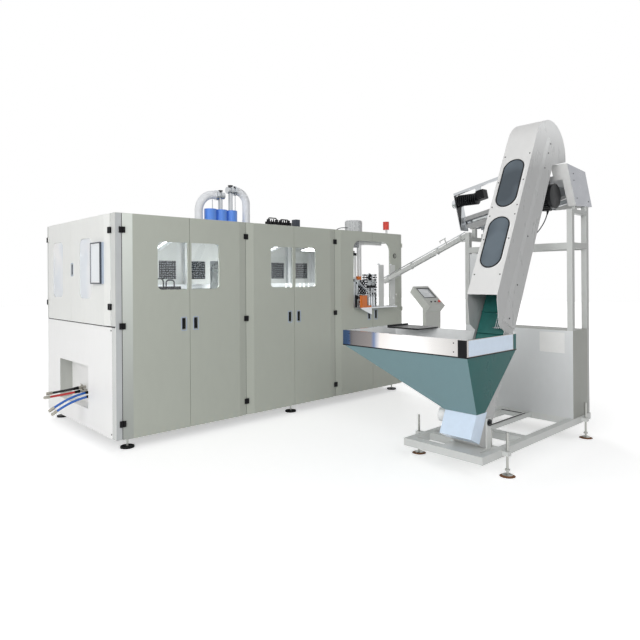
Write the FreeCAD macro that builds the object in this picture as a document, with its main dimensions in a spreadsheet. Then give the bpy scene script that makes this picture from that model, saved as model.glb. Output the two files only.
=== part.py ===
"""Blow moulding machine for bottles, with its preform elevator, in millimetres, +Z up.

The machine is a long cabinet of three door bays. Preforms are tipped into the hopper,
climb the inclined belt, fall on two rollers that line them up, and slide down the
gravity rail into the window of the third bay. Places are written in machine places:
X runs right along the doors from the cabinet's left end, Y runs away from the doors
and Z is the height over the floor. The row's origin is under the middle of the whole.
"""
import FreeCAD, Part
import math
import os

import Sketcher
from FreeCAD import Placement, Rotation, Vector

os.makedirs("parts", exist_ok=True)
doc = FreeCAD.newDocument("BlowMouldingMachine")

# ---------------------------------------------------------------- driving sizes

SIZES = {
    # where the row's origin lies, in machine places
    "origin_x": 2243.5,
    "origin_y": -456,
    # cabinet
    "cab_length": 3957,
    "cab_depth": 1796,
    "cab_bottom": 100,
    "cab_height": 2100,
    "sheet_gauge": 3,
    "post": 60,
    "base_rail": 80,
    "foot_plate": 8,
    "foot_tall": 16,
    "stem_radius": 10,
    "cabinet_pad": 62,
    "stand_pad": 60,
    "stand_stem_top": 330,
    "rear_post_left": 1668,
    "rear_post_right": 3408,
    "bed_height": 850,
    "bed_gauge": 30,
    # front doors: hinge seams, meeting seams and section
    "seam_second": 1385,
    "seam_third": 2686,
    "meet_first": 720,
    "meet_second": 2033,
    "meet_third": 3345,
    "door_gap": 2,
    "door_proud": 22,
    "door_lip": 4,
    "door_bevel": 88,
    "door_skin": 3,
    "door_rim": 20,
    "hinge_width": 24,
    "hinge_tall": 54,
    "hinge_proud": 17,
    "knuckle_in": 3.5,
    "knuckle": 4.5,
    # door windows
    "pane_edge": 18,
    "pane_wide": 310,
    "pane_low": 1315,
    "pane_tall": 445,
    "pane_gauge": 5,
    "pane_corner": 45,
    "infeed_wide": 350,
    "infeed_edge": 0,
    "infeed_low": 1034,
    "infeed_tall": 847,
    "infeed_corner": 120,
    "infeed_corner_low": 8,
    # door latches
    "dish_edge": 40,
    "dish_wide": 44,
    "dish_tall": 116,
    "dish_low": 930,
    "dish_low_infeed": 890,
    "dish_depth": 13,
    "lever_wide": 27,
    "lever_tall": 96,
    "lever_gauge": 9,
    "lever_in": 5.5,
    # left end: doors over a screwed panel
    "end_split": 1100,
    "end_meet": 1010,
    "end_front": 100,
    "end_rear": 1745,
    "slot_wide": 305,
    "slot_tall": 570,
    "slot_low": 233,
    "slot_corner": 70,
    "slot_edge": 228,
    "end_dish_low": 455,
    "end_dish_edge": 8,
    "recess_near": 634,
    "recess_far": 1408,
    "recess_low": 278,
    "recess_high": 688,
    "recess_depth": 128,
    "hmi_near": 190,
    "hmi_low": 1475,
    "hmi_wide": 222,
    "hmi_tall": 372,
    "hmi_proud": 36,
    "hmi_frame": 18,
    "hmi_set": 3,
    # openings of the rear wall and of the right end
    "grille": 206,
    "grille_low": 1530,
    "port_near": 200,
    "port_wide": 850,
    "port_low": 1130,
    "port_tall": 860,
    # infeed window
    "tray_low": 1138,
    # mould clamp and stretch unit
    "clamp_x": 1870,
    "platen_wide": 460,
    "platen_tall": 450,
    "platen_near": 420,
    "platen_far": 1330,
    "platen_gauge": 50,
    "bridge_leg": 320,
    "tie_radius": 28,
    "tie_in": 38,
    "mould_wide": 290,
    "mould_tall": 410,
    "mould_half": 180,
    "mould_open": 110,
    "cavity_radius": 42,
    "neck_radius": 15,
    # preform oven, track and starwheel
    "oven_left": 2420,
    "oven_long": 680,
    "track_left": 2150,
    "track_long": 1190,
    "star_x": 3460,
    "star_y": 130,
    "star_radius": 95,
    "star_low": 1330,
    "star_tall": 230,
    "star_disc": 10,
    "star_pocket": 15,
    "shelf_height": 1392,
    "shelf_tall": 54,
    # roof
    "tank_radius": 68,
    "tank_tall": 185,
    "hose_radius": 46,
    "fan_radius": 115,
    "fan_tall": 174,
    "lens_radius": 41,
    "lens_tall": 108,
    # elevator tower, in its own leaning frame
    "lean": 26.4,
    "tower_x": 1800,
    "tower_z": 300,
    "tower_near": -2520,
    "tower_wide": 270,
    "rear_in": 63,
    "arch_radius": 308,
    "arch_across": 10,
    "arch_along": 2594,
    "mouth_along": 1059,
    "boot_drop": 80,
    "boot_out": 182,
    "tower_skin": 3,
    "glass_wide": 190,
    "glass_long": 480,
    "glass_low": 1290,
    "glass_high": 1870,
    "drum_radius": 36,
    "belt_gauge": 4,
    "belt_wide": 244,
    "belt_across": -3,
    "cleat": 18,
    "tail_along": 10,
    "head_along": 2594,
    "motor_radius": 104,
    "motor_long": 210,
    "motor_fins": 9,
    "motor_x": 3100,
    "motor_z": 2260,
    "hood_near": -2600,
    "hood_wide": 360,
    # hopper
    "hop_left": 1480,
    "hop_long": 720,
    "hop_near": -2573,
    "hop_wide": 1247,
    "hop_low": 478,
    "hop_mid": 932,
    "hop_top": 1057,
    "hop_gauge": 4,
    "mouth_wide": 283,
    "rim_gauge": 22,
    # elevator base and support stand
    "tube": 60,
    "stand_tube": 50,
    "base_low": 140,
    "base_left": 1600,
    "base_near": -2620,
    "base_far": -1900,
    "stand_left": 3190,
    "stand_right": 3565,
    "stand_far": -1480,
    "stand_top": 2140,
    "box_top": 1010,
    "crossbar": 1770,
    # unscrambler
    "rail_x": 3455,
    "roll_lean": 12,
    "roll_y": -1405,
    "roll_z": 2115,
    "roll_radius": 45,
    "roll_pitch": 116,
    "roll_long": 1040,
    "cheek_gauge": 5,
    "cheek_tall": 110,
    "cheek_low": 60,
    "journal_radius": 10,
    # console
    "desk_left": 4200,
    "desk_wide": 345,
    "desk_front": -297,
    "panel_low": 1125,
    "panel_run": 287,
    "panel_rise": 267,
}


class Cell(float):
    """A value of the sheet that keeps its formula, so a size made from it stays bound."""

    def __new__(cls, value, text):
        cell = super().__new__(cls, value)
        cell.text = text
        return cell

    def __add__(self, other):
        return Cell(float(self) + float(other), f"({self.text} + {formula(other)})")

    def __sub__(self, other):
        return Cell(float(self) - float(other), f"({self.text} - {formula(other)})")

    def __mul__(self, other):
        return Cell(float(self) * float(other), f"({self.text} * {formula(other)})")

    def __truediv__(self, other):
        return Cell(float(self) / float(other), f"({self.text} / {formula(other)})")

    def __radd__(self, other):
        return Cell(float(other) + float(self), f"({formula(other)} + {self.text})")

    def __rsub__(self, other):
        return Cell(float(other) - float(self), f"({formula(other)} - {self.text})")

    __rmul__ = __mul__


def formula(value):
    return value.text if isinstance(value, Cell) else f"{float(value):.6f}"


class Sizes:
    """The sheet's cells by name."""

    def __init__(self, values):
        self.sheet = doc.addObject("Spreadsheet::Sheet", "Sizes")
        for row, (name, value) in enumerate(values.items(), start=1):
            self.sheet.set(f"A{row}", name)
            self.sheet.set(f"B{row}", str(value))
            self.sheet.setAlias(f"B{row}", name)
            setattr(self, name, Cell(value, f"Sizes.{name}"))


s = Sizes(SIZES)
doc.recompute()

X_AXIS = Vector(1, 0, 0)
Y_AXIS = Vector(0, 1, 0)
Z_AXIS = Vector(0, 0, 1)
UPRIGHT = Rotation()
ALONG_X = Rotation(Y_AXIS, 90)
ALONG_Y = Rotation(X_AXIS, -90)
FACING_OUT = Rotation(Z_AXIS, 180)
FACING_LEFT = Rotation(Z_AXIS, 90)
END_LATCH = Rotation(Z_AXIS, -90)

NODES = []

# ---------------------------------------------------------------- makers


def machine_place(x, y, z, turn=UPRIGHT):
    """A place given in machine places, moved to the row's origin."""
    return Placement(Vector(x - s.origin_x, y - s.origin_y, z), turn)


def bind(obj, **sizes):
    """Give each property its size: bound to the sheet where it comes from the sheet."""
    for name, value in sizes.items():
        if isinstance(value, Cell):
            obj.setExpression(name, value.text)
        else:
            setattr(obj, name, value)


def box(name, length, width, height, x, y, z, turn=UPRIGHT):
    obj = doc.addObject("Part::Box", name)
    bind(obj, Length=length, Width=width, Height=height)
    obj.Placement = machine_place(x, y, z, turn)
    return obj


def rod(name, radius, height, x, y, z, turn=UPRIGHT):
    obj = doc.addObject("Part::Cylinder", name)
    bind(obj, Radius=radius, Height=height)
    obj.Placement = machine_place(x, y, z, turn)
    return obj


def cone(name, low, high, height, x, y, z, turn=UPRIGHT):
    obj = doc.addObject("Part::Cone", name)
    bind(obj, Radius1=low, Radius2=high, Height=height)
    obj.Placement = machine_place(x, y, z, turn)
    return obj


def cut(name, base, tool):
    obj = doc.addObject("Part::Cut", name)
    obj.Base, obj.Tool = base, tool
    return obj


def fuse(name, pieces):
    obj = doc.addObject("Part::MultiFuse", name)
    obj.Shapes = pieces
    return obj


def group(name, pieces):
    """Several separate solids of one kind."""
    obj = doc.addObject("Part::Compound", name)
    obj.Links = pieces
    return obj


def node(label, obj):
    """Name a finished sub-part: its label is its file's name."""
    obj.Label = label
    NODES.append(obj)
    return obj


# ---------------------------------------------------------------- sketches


def origin_plane(body, role):
    return next(f for f in body.Origin.OriginFeatures if f.Role == role)


def new_sketch(body, name, role, lift=0.0):
    sketch = body.newObject("Sketcher::SketchObject", name)
    sketch.AttachmentSupport = (origin_plane(body, role), [""])
    sketch.MapMode = "FlatFace"
    sketch.AttachmentOffset = Placement(Vector(0, 0, float(lift)), Rotation())
    return sketch


def bind_distance(sketch, kind, line, point, value):
    """Hold one end of a line at a bound distance from the sketch's origin."""
    number = sketch.addConstraint(Sketcher.Constraint(kind, -1, 1, line, point, float(value)))
    if isinstance(value, Cell):
        sketch.setExpression(f"Constraints[{number}]", value.text)


def outline(sketch, corners):
    """A closed outline of straight lines, each corner held from the sketch's origin."""
    first = sketch.GeometryCount
    count = len(corners)
    points = [Vector(float(a), float(b), 0) for a, b in corners]
    for i in range(count):
        sketch.addGeometry(Part.LineSegment(points[i], points[(i + 1) % count]), False)
    for i in range(count):
        following = first + (i + 1) % count
        sketch.addConstraint(Sketcher.Constraint("Coincident", first + i, 2, following, 1))
    for i, (across, up) in enumerate(corners):
        bind_distance(sketch, "DistanceX", first + i, 1, across)
        bind_distance(sketch, "DistanceY", first + i, 1, up)


def rectangle(sketch, left, low, wide, tall):
    right, high = left + wide, low + tall
    outline(sketch, [(left, low), (right, low), (right, high), (left, high)])


def circle(sketch, across, up, radius):
    """A full circle, its centre and radius held."""
    ring = Part.Circle(Vector(float(across), float(up), 0), Z_AXIS, float(radius))
    line = sketch.addGeometry(ring, False)
    bind_distance(sketch, "DistanceX", line, 3, across)
    bind_distance(sketch, "DistanceY", line, 3, up)
    number = sketch.addConstraint(Sketcher.Constraint("Radius", line, float(radius)))
    if isinstance(radius, Cell):
        sketch.setExpression(f"Constraints[{number}]", radius.text)


def pad(body, name, sketch, length, back=False):
    feature = body.newObject("PartDesign::Pad", name)
    feature.Profile = sketch
    feature.Reversed = back
    bind(feature, Length=length)
    return feature


def pocket(body, name, sketch, depth, back=False):
    """Cut to a depth, and make sure that it cut something."""
    doc.recompute()
    before = body.Shape.Volume
    feature = body.newObject("PartDesign::Pocket", name)
    feature.Profile = sketch
    feature.Reversed = back
    bind(feature, Length=depth)
    doc.recompute()
    if not body.Shape.Volume < before - 1:
        raise RuntimeError(f"{name} cuts nothing")
    return feature


def fillet_uprights(body, name, base, radius, spots):
    """Round the edges along Y that pass through the given (x, z) spots."""
    doc.recompute()
    edges = []
    for number, edge in enumerate(base.Shape.Edges, start=1):
        ends = [v.Point for v in edge.Vertexes]
        if len(ends) != 2 or abs(ends[0].x - ends[1].x) > 0.01:
            continue
        if abs(ends[0].z - ends[1].z) > 0.01:
            continue
        if any(math.hypot(ends[0].x - x, ends[0].z - z) < 0.5 for x, z in spots):
            edges.append(f"Edge{number}")
    feature = body.newObject("PartDesign::Fillet", name)
    feature.Base = (base, edges)
    bind(feature, Radius=radius)
    return feature


# ---------------------------------------------------------------- doors

HINGE_LOWS = (113, 973, 1823)
END_HINGE_LOWS = (143, 823)
# the turning knob, its grip and the key barrel: across, up, radius and reach
DOOR_KNOBS = ((165, 1704, 24, 6), (165, 1704, 19, 16), (150, 1193, 14, 9))


def window_left(width, hinge_last, window):
    wide, edge = window[0], window[4]
    return edge if hinge_last else width - edge - wide


def round_window(body, base, width, hinge_last, window, inset):
    """Round the corners of a window or of its glass: the free side may stay square."""
    wide, low, tall, corner, _, round_free, low_corner = window
    left = window_left(width, hinge_last, window)
    near_free, near_hinge = float(left) + inset, float(left + wide) - inset
    if not hinge_last:
        near_free, near_hinge = near_hinge, near_free
    sides = [near_hinge] + ([near_free] if round_free else [])
    bottom, top = float(low) + inset, float(low + tall) - inset
    upper = fillet_uprights(body, "UpperCorners", base, corner, [(x, top) for x in sides])
    fillet_uprights(body, "LowerCorners", upper, low_corner, [(x, bottom) for x in sides])


def cut_window(body, width, hinge_last, window):
    """Cut a window beside the door's free edge, with a solid frame round it."""
    wide, low, tall, _, edge = window[:5]
    left = window_left(width, hinge_last, window)
    free_margin = s.door_rim if float(edge) > float(s.door_rim) else edge
    before = free_margin if hinge_last else s.door_rim
    stile = new_sketch(body, "StileSketch", "XZ_Plane")
    rectangle(stile, left - before, low - s.door_rim, wide + free_margin + s.door_rim,
              tall + 2 * s.door_rim)
    pad(body, "Stile", stile, s.door_proud, back=True)
    sketch = new_sketch(body, "WindowSketch", "XZ_Plane")
    rectangle(sketch, left, low, wide, tall)
    opening = pocket(body, "Window", sketch, s.door_proud + 5)
    round_window(body, opening, width, hinge_last, window, 0)


def cut_dish(body, width, hinge_last, dish):
    """A sunk dish for the latch, with a cup behind it."""
    low, edge = dish
    left = edge if hinge_last else width - edge - s.dish_wide
    cup = new_sketch(body, "CupSketch", "XZ_Plane")
    rectangle(cup, left - 4, low - 4, s.dish_wide + 8, s.dish_tall + 8)
    pad(body, "Cup", cup, s.door_proud, back=True)
    sketch = new_sketch(body, "DishSketch", "XZ_Plane", lift=-float(s.door_proud))
    rectangle(sketch, left, low, s.dish_wide, s.dish_tall)
    pocket(body, "Dish", sketch, s.dish_depth, back=True)


def make_door(label, width, height, hinge_last, place, window, hinges, dish=None, knobs=()):
    """One folded steel door with its back on the frame.

    Its own X runs along the width, Y points outwards and Z up. The hinge edge is
    bevelled down to a lip, the back is hollow behind a thin skin, and blocks on the
    lip carry the hinges' round knuckles. hinge_last puts the hinge edge at the far X.
    """
    body = doc.addObject("PartDesign::Body", label)
    lip, proud, bevel = s.door_lip, s.door_proud, s.door_bevel
    section = new_sketch(body, "Section", "XY_Plane")
    if hinge_last:
        outline(section, [(0, 0), (width, 0), (width, lip), (width - bevel, proud), (0, proud)])
    else:
        outline(section, [(0, 0), (width, 0), (width, proud), (bevel, proud), (0, lip)])
    pad(body, "Slab", section, height)
    free = s.door_rim if hinge_last else s.door_bevel + s.door_rim
    hollow = new_sketch(body, "HollowSketch", "XZ_Plane")
    rectangle(hollow, free, s.door_rim, width - 2 * s.door_rim - s.door_bevel,
              height - 2 * s.door_rim)
    pocket(body, "Hollow", hollow, proud - s.door_skin)
    if dish:
        cut_dish(body, width, hinge_last, dish)
    if window:
        cut_window(body, width, hinge_last, window)
    blocks = new_sketch(body, "HingeSketch", "XZ_Plane")
    left = width - s.hinge_width if hinge_last else 0
    for low in hinges:
        rectangle(blocks, left, low, s.hinge_width, s.hinge_tall)
    pad(body, "HingeBlocks", blocks, s.hinge_proud, back=True)
    pin = width - s.knuckle_in if hinge_last else s.knuckle_in
    for i, low in enumerate(hinges):
        knuckle = new_sketch(body, f"Knuckle{i}", "XY_Plane", lift=low)
        circle(knuckle, pin, s.hinge_proud, s.knuckle)
        pad(body, f"HingeKnuckle{i}", knuckle, s.hinge_tall)
    for i, (across, up, radius, reach) in enumerate(knobs):
        face = new_sketch(body, f"Knob{i}", "XZ_Plane", lift=-float(proud))
        circle(face, across, up, radius)
        pad(body, f"KnobPad{i}", face, reach, back=True)
    body.Placement = place
    return node(label, body)


def make_pane(label, width, hinge_last, place, window):
    """The glass of a door window, half a millimetre smaller all round."""
    wide, low, tall = window[:3]
    left = window_left(width, hinge_last, window)
    body = doc.addObject("PartDesign::Body", label)
    sketch = new_sketch(body, "Outline", "XZ_Plane", lift=-11.0)
    rectangle(sketch, left + 0.5, low + 0.5, wide - 1, tall - 1)
    sheet = pad(body, "Sheet", sketch, s.pane_gauge, back=True)
    round_window(body, sheet, width, hinge_last, window, 0.5)
    body.Placement = place
    return node(label, body)


def make_latch(label, x, y, z, turn):
    """A paddle latch: its rounded top turns in the dish and its foot pulls out."""
    half = s.lever_gauge / 2
    knuckle = rod(label + "_knuckle", half, s.lever_wide, x, y, z, turn * ALONG_X)
    down = turn.multVec(Vector(0, -float(half), -float(s.lever_tall)))
    plate = box(label + "_plate", s.lever_wide, s.lever_gauge, s.lever_tall,
                x + down.x, y + down.y, z + down.z, turn)
    return node(label, fuse(label, [knuckle, plate]))


PANE = (s.pane_wide, s.pane_low, s.pane_tall, s.pane_corner, s.pane_edge, False, s.pane_corner)
INFEED = (s.infeed_wide, s.infeed_low, s.infeed_tall, s.infeed_corner, s.infeed_edge, False,
          s.infeed_corner_low)
SLOT = (s.slot_wide, s.slot_low, s.slot_tall, s.slot_corner, s.slot_edge, True, s.slot_corner)


def front_door(bay, side, hinge_x, meet_x, dish_low):
    """A full-height front door between its hinge seam and its meeting seam."""
    hinge_left = side == "left"
    span = meet_x - hinge_x if hinge_left else hinge_x - meet_x
    width = span - 2 * s.door_gap
    right = (meet_x if hinge_left else hinge_x) - s.door_gap
    place = machine_place(right, 0, s.cab_bottom, FACING_OUT)
    window = PANE if bay < 3 else INFEED
    height = s.cab_height - s.cab_bottom - s.sheet_gauge
    knobs = DOOR_KNOBS if (bay, side) == (3, "right") else ()
    make_door(f"door_{bay}_{side}", width, height, hinge_left, place, window, HINGE_LOWS,
              (dish_low, s.dish_edge), knobs)
    if bay < 3:
        make_pane(f"window_{bay}_{side}", width, hinge_left, place, window)
    middle = s.door_gap + s.dish_edge + s.dish_wide / 2
    x = meet_x - middle if hinge_left else meet_x + middle
    make_latch(f"latch_{bay}_{side}", x - s.lever_wide / 2, s.lever_in - s.door_proud,
               s.cab_bottom + dish_low + s.dish_tall - 10, UPRIGHT)


def build_front_doors():
    seams = (s.post, s.seam_second, s.seam_third, s.cab_length)
    meets = (s.meet_first, s.meet_second, s.meet_third)
    lows = (s.dish_low, s.dish_low, s.dish_low_infeed)
    for bay in (1, 2, 3):
        front_door(bay, "left", seams[bay - 1], meets[bay - 1], lows[bay - 1])
        front_door(bay, "right", seams[bay], meets[bay - 1], lows[bay - 1])


def build_end_doors():
    height = s.cab_height - s.end_split - s.sheet_gauge
    front_wide = s.end_meet - s.end_front - 2 * s.door_gap
    rear_wide = s.end_rear - s.end_meet - 2 * s.door_gap
    front = machine_place(0, s.end_front + s.door_gap, s.end_split, FACING_LEFT)
    rear = machine_place(0, s.end_meet + s.door_gap, s.end_split, FACING_LEFT)
    make_door("end_door_front", front_wide, height, False, front, SLOT, END_HINGE_LOWS,
              (s.end_dish_low, s.end_dish_edge))
    make_door("end_door_rear", rear_wide, height, True, rear, SLOT, END_HINGE_LOWS)
    make_pane("end_window_front", front_wide, False, front, SLOT)
    make_pane("end_window_rear", rear_wide, True, rear, SLOT)
    middle = s.end_meet - s.door_gap - s.end_dish_edge - s.dish_wide / 2
    make_latch("end_latch", s.lever_in - s.door_proud, middle + s.lever_wide / 2,
               s.end_split + s.end_dish_low + s.dish_tall - 10, END_LATCH)


def build_hmi():
    """The touch panel on the front end door, with its screen set back."""
    face = 0 - s.door_proud
    shell = box("hmi_shell", s.hmi_proud, s.hmi_wide, s.hmi_tall, face - s.hmi_proud,
                s.hmi_near, s.hmi_low)
    edge = s.hmi_frame
    well = box("hmi_well", s.hmi_set + 1, s.hmi_wide - 2 * edge, s.hmi_tall - 2 * edge,
               face - s.hmi_proud - 1, s.hmi_near + edge, s.hmi_low + edge)
    node("hmi_panel", cut("hmi_panel", shell, well))


# ---------------------------------------------------------------- cabinet

FRONT_FEET = ((140, 88), (2070, 100), (3880, 120))
REAR_FEET = ((120, 1700), (2070, 1680), (3840, 1680))


def build_cabinet_frame():
    """Welded square tube, with the bed that carries the works."""
    t, post = s.sheet_gauge, s.post
    far = s.cab_depth - t - post
    right = s.cab_length - t - post
    xs = (t, s.seam_second - post / 2, s.seam_third - post / 2, right)
    rear_xs = (t, s.rear_post_left, s.rear_post_right, right)
    top = s.cab_height - t - post
    low = s.cab_bottom + s.base_rail
    pieces = []
    for i, x in enumerate(xs):
        pieces.append(box(f"post_{i}", post, post, top - low, x, 1, low))
        pieces.append(box(f"rear_post_{i}", post, post, top - low, rear_xs[i], far, low))
        pieces.append(box(f"cross_low_{i}", post, far - 1 - post, s.base_rail, x, 1 + post,
                          s.cab_bottom))
        pieces.append(box(f"cross_mid_{i}", post, far - 1 - post, post, x, 1 + post,
                          s.bed_height - post))
        pieces.append(box(f"cross_top_{i}", post, far - 1 - post, post, x, 1 + post, top))
    for j, y in enumerate((1, far)):
        long = s.cab_length - 2 * t
        pieces.append(box(f"rail_low_{j}", long, post, s.base_rail, t, y, s.cab_bottom))
        pieces.append(box(f"rail_top_{j}", long, post, post, t, y, top))
    pieces.append(box("bed", s.cab_length - 2 * t - 2 * post, far - 1 - post, s.bed_gauge,
                      t + post, 1 + post, s.bed_height))
    pieces.append(box("rear_shelf", s.cab_length - 2 * t - 2 * post, 160, s.shelf_tall,
                      t + post, far - 160, s.shelf_height))
    for i, (x, y) in enumerate(((925, 760), (2560, 900))):
        arm = box(f"lamp_arm_{i}", 20, 40, 140, x + 20, y + 100, top - 140)
        bar = box(f"lamp_bar_{i}", 60, 330, 26, x, y, top - 106, Rotation(X_AXIS, -16))
        pieces.append(fuse(f"lamp_{i}", [arm, bar]))
    for i, (x, y) in enumerate(FRONT_FEET + REAR_FEET):
        near, wide = (21, y + 30) if y < 900 else (y - 50, s.cab_depth - 24 - (y - 50))
        pieces.append(box(f"foot_plate_{i}", 120, wide, s.foot_plate, x - 60, near,
                          s.cab_bottom - s.foot_plate))
    for i, low_at in enumerate(HINGE_LOWS):
        pieces.append(box(f"corner_hinge_{i}", s.hinge_width, s.hinge_proud, s.hinge_tall,
                          post - s.door_gap - s.hinge_width, 1 - s.hinge_proud,
                          s.cab_bottom + low_at))
    node("cabinet_frame", group("cabinet_frame", pieces))


GRILLES = (1342, 1775, 3150, 3620)


def build_panels():
    """Roof, rear wall, right end with its opening, and the strips beside the end doors."""
    t = s.sheet_gauge
    tall = s.cab_height - s.cab_bottom - t
    roof = box("roof", s.cab_length, s.cab_depth, t, 0, 0, s.cab_height - t)
    rear = box("rear", s.cab_length, t, tall, 0, s.cab_depth - t, s.cab_bottom)
    vents = [box(f"vent_{i}", s.grille, t + 2, s.grille, x, s.cab_depth - t - 1, s.grille_low)
             for i, x in enumerate(GRILLES)]
    rear_wall = cut("rear_wall", rear, fuse("vents", vents))
    right = box("right", t, s.cab_depth - t, tall, s.cab_length - t, 0, s.cab_bottom)
    port = box("port", t + 2, s.port_wide, s.port_tall, s.cab_length - t - 1, s.port_near,
               s.port_low)
    right_wall = cut("right_wall", right, port)
    strip_tall = s.cab_height - t - s.end_split
    near = box("near_strip", t, s.end_front - s.door_gap, strip_tall, 0, 0, s.end_split)
    far = box("far_strip", t, s.cab_depth - t - s.end_rear - s.door_gap, strip_tall, 0,
              s.end_rear + s.door_gap, s.end_split)
    pieces = [roof, rear_wall, right_wall, near, far]
    for i, low in enumerate(END_HINGE_LOWS):
        for j, y in enumerate((s.end_front - s.door_gap - s.hinge_width,
                               s.end_rear + s.door_gap)):
            pieces.append(box(f"end_hinge_{i}{j}", s.hinge_proud, s.hinge_width, s.hinge_tall,
                              0 - s.hinge_proud, y, s.end_split + low))
    node("outer_panels", group("outer_panels", pieces))


def build_grilles():
    """Filter grilles of the rear wall, each a slotted plate over the pad in its hole."""
    pieces = []
    y = s.cab_depth - s.sheet_gauge - 8
    for i, x in enumerate(GRILLES):
        plate = box(f"grille_plate_{i}", s.grille + 30, 8, s.grille + 30, x - 15, y,
                    s.grille_low - 15)
        slots = [box(f"grille_slot_{i}{k}", s.grille - 16, 10, 15, x + 8, y - 1,
                     s.grille_low + 10 + 24 * k) for k in range(8)]
        pieces.append(cut(f"grille_{i}", plate, fuse(f"grille_slots_{i}", slots)))
        pieces.append(box(f"filter_pad_{i}", s.grille, s.sheet_gauge, s.grille, x, y + 8,
                          s.grille_low))
    node("filter_grilles", group("filter_grilles", pieces))


def build_end_lower():
    """The screwed panel under the end doors, with the recess for the supplies."""
    t = s.sheet_gauge
    panel = box("lower_sheet", t, s.cab_depth - t, s.end_split - s.cab_bottom - t, 0, 0,
                s.cab_bottom)
    wide, tall = s.recess_far - s.recess_near, s.recess_high - s.recess_low
    tray = box("recess_outer", s.recess_depth, wide + 2 * t, tall + 2 * t, 0,
               s.recess_near - t, s.recess_low - t)
    hollow = box("recess_inner", s.recess_depth, wide, tall, 0 - t, s.recess_near, s.recess_low)
    shell = fuse("lower_shell", [panel, tray])
    node("end_lower_panel", cut("end_lower_panel", shell, hollow))


def foot(name, x, y, top, pad_radius):
    """A levelling foot: a pad and its threaded rod, with a nut on the long ones."""
    long = float(top) > float(s.cab_bottom)
    thick = s.foot_tall
    if long:
        disc = cone(name + "_pad", pad_radius, pad_radius / 2, thick, x, y, 0)
    else:
        disc = rod(name + "_pad", pad_radius, thick, x, y, 0)
    stem = rod(name + "_stem", s.stem_radius, top - thick, x, y, thick)
    pieces = [disc, stem]
    if long:
        nut = doc.addObject("Part::Prism", name + "_nut")
        bind(nut, Polygon=6, Circumradius=2 * s.stem_radius, Height=14)
        nut.Placement = machine_place(x, y, 40)
        pieces.append(nut)
    return fuse(name, pieces)


def build_feet():
    spots = FRONT_FEET + REAR_FEET
    pieces = [foot(f"foot_{i}", x, y, s.cab_bottom - s.foot_plate, s.cabinet_pad)
              for i, (x, y) in enumerate(spots)]
    for i, (x, y) in enumerate(STAND_FEET):
        pieces.append(foot(f"stand_foot_{i}", x, y, s.stand_stem_top, s.stand_pad))
    node("levelling_feet", group("levelling_feet", pieces))


# ---------------------------------------------------------------- works in the cabinet


def build_clamp():
    """Two platens tied by four bars, over a base that the mould halves slide on."""
    bed = s.bed_height + s.bed_gauge
    left = s.clamp_x - s.platen_wide / 2
    low = bed + 30
    pieces = [box("clamp_base", s.platen_wide, s.platen_far + 50 - s.platen_near, 30, left,
                  s.platen_near, bed)]
    gauge, inset = s.platen_gauge, s.tie_in
    for i, y in enumerate((s.platen_near, s.platen_far)):
        pieces.append(box(f"platen_{i}", s.platen_wide, gauge, s.platen_tall, left, y, low))
    span = s.platen_far - s.platen_near - gauge
    for i, x in enumerate((left + inset, left + s.platen_wide - inset)):
        for j, z in enumerate((low + inset, low + s.platen_tall - inset)):
            pieces.append(rod(f"tie_{i}{j}", s.tie_radius, span, x, s.platen_near + gauge, z,
                              ALONG_Y))
    bridge = low + s.platen_tall
    leg, beam = s.bridge_leg, 60
    for i, y in enumerate((s.platen_near, s.platen_far)):
        pieces.append(box(f"bridge_leg_{i}", 100, gauge, leg, s.clamp_x - 50, y, bridge))
    pieces.append(box("bridge", 100, span + 2 * gauge, beam, s.clamp_x - 50, s.platen_near,
                      bridge + leg))
    middle = s.platen_near + gauge / 2 + (span + gauge) / 2
    pieces.append(rod("stretch_cylinder", 32, 220, s.clamp_x, middle, bridge + leg + beam))
    pieces += air_block(bed)
    node("clamp_frame", group("clamp_frame", pieces))


def air_block(bed):
    """The clamp's air receivers, with a manifold, its valves and their looped lines."""
    tall, y = 420, 930
    pieces = [rod(f"receiver_{i}", 75, tall, x, y, bed) for i, x in enumerate((890, 1090))]
    deck = bed + tall
    pieces.append(box("manifold", 340, 90, 70, 820, y - 45, deck))
    for k in range(4):
        pieces.append(box(f"air_valve_{k}", 50, 70, 62, 835 + 84 * k, y - 35, deck + 70))
    high = deck + 132
    for k, (left, right, rise) in enumerate(((848, 938, 88), (972, 1070, 70))):
        route = [(left, y, high), (left, y, high + rise), (right, y, high + rise),
                 (right, y, high)]
        pieces.append(tube(f"air_line_{k}", route, 8))
    return pieces


def mould_half(name, near):
    """One half of a two-bottle mould, with half of each bottle cut in its face."""
    low = s.bed_height + s.bed_gauge + 31
    middle = s.platen_near + 25 + (s.platen_far - s.platen_near) / 2
    gap = s.mould_open
    y = middle - gap - s.mould_half if near else middle + gap
    face = middle - gap if near else middle + gap
    block = box(name + "_block", s.mould_wide, s.mould_half, s.mould_tall,
                s.clamp_x - s.mould_wide / 2, y, low)
    tools = []
    for i, x in enumerate((s.clamp_x - 62, s.clamp_x + 62)):
        tools.append(rod(f"{name}_bottle_{i}", s.cavity_radius, 230, x, face, low + 60))
        tools.append(cone(f"{name}_shoulder_{i}", s.cavity_radius, s.neck_radius, 50, x, face,
                          low + 290))
        tools.append(rod(f"{name}_neck_{i}", s.neck_radius, s.mould_tall - 330, x, face,
                         low + 335))
    node(name, cut(name, block, fuse(name + "_cavities", tools)))


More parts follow.
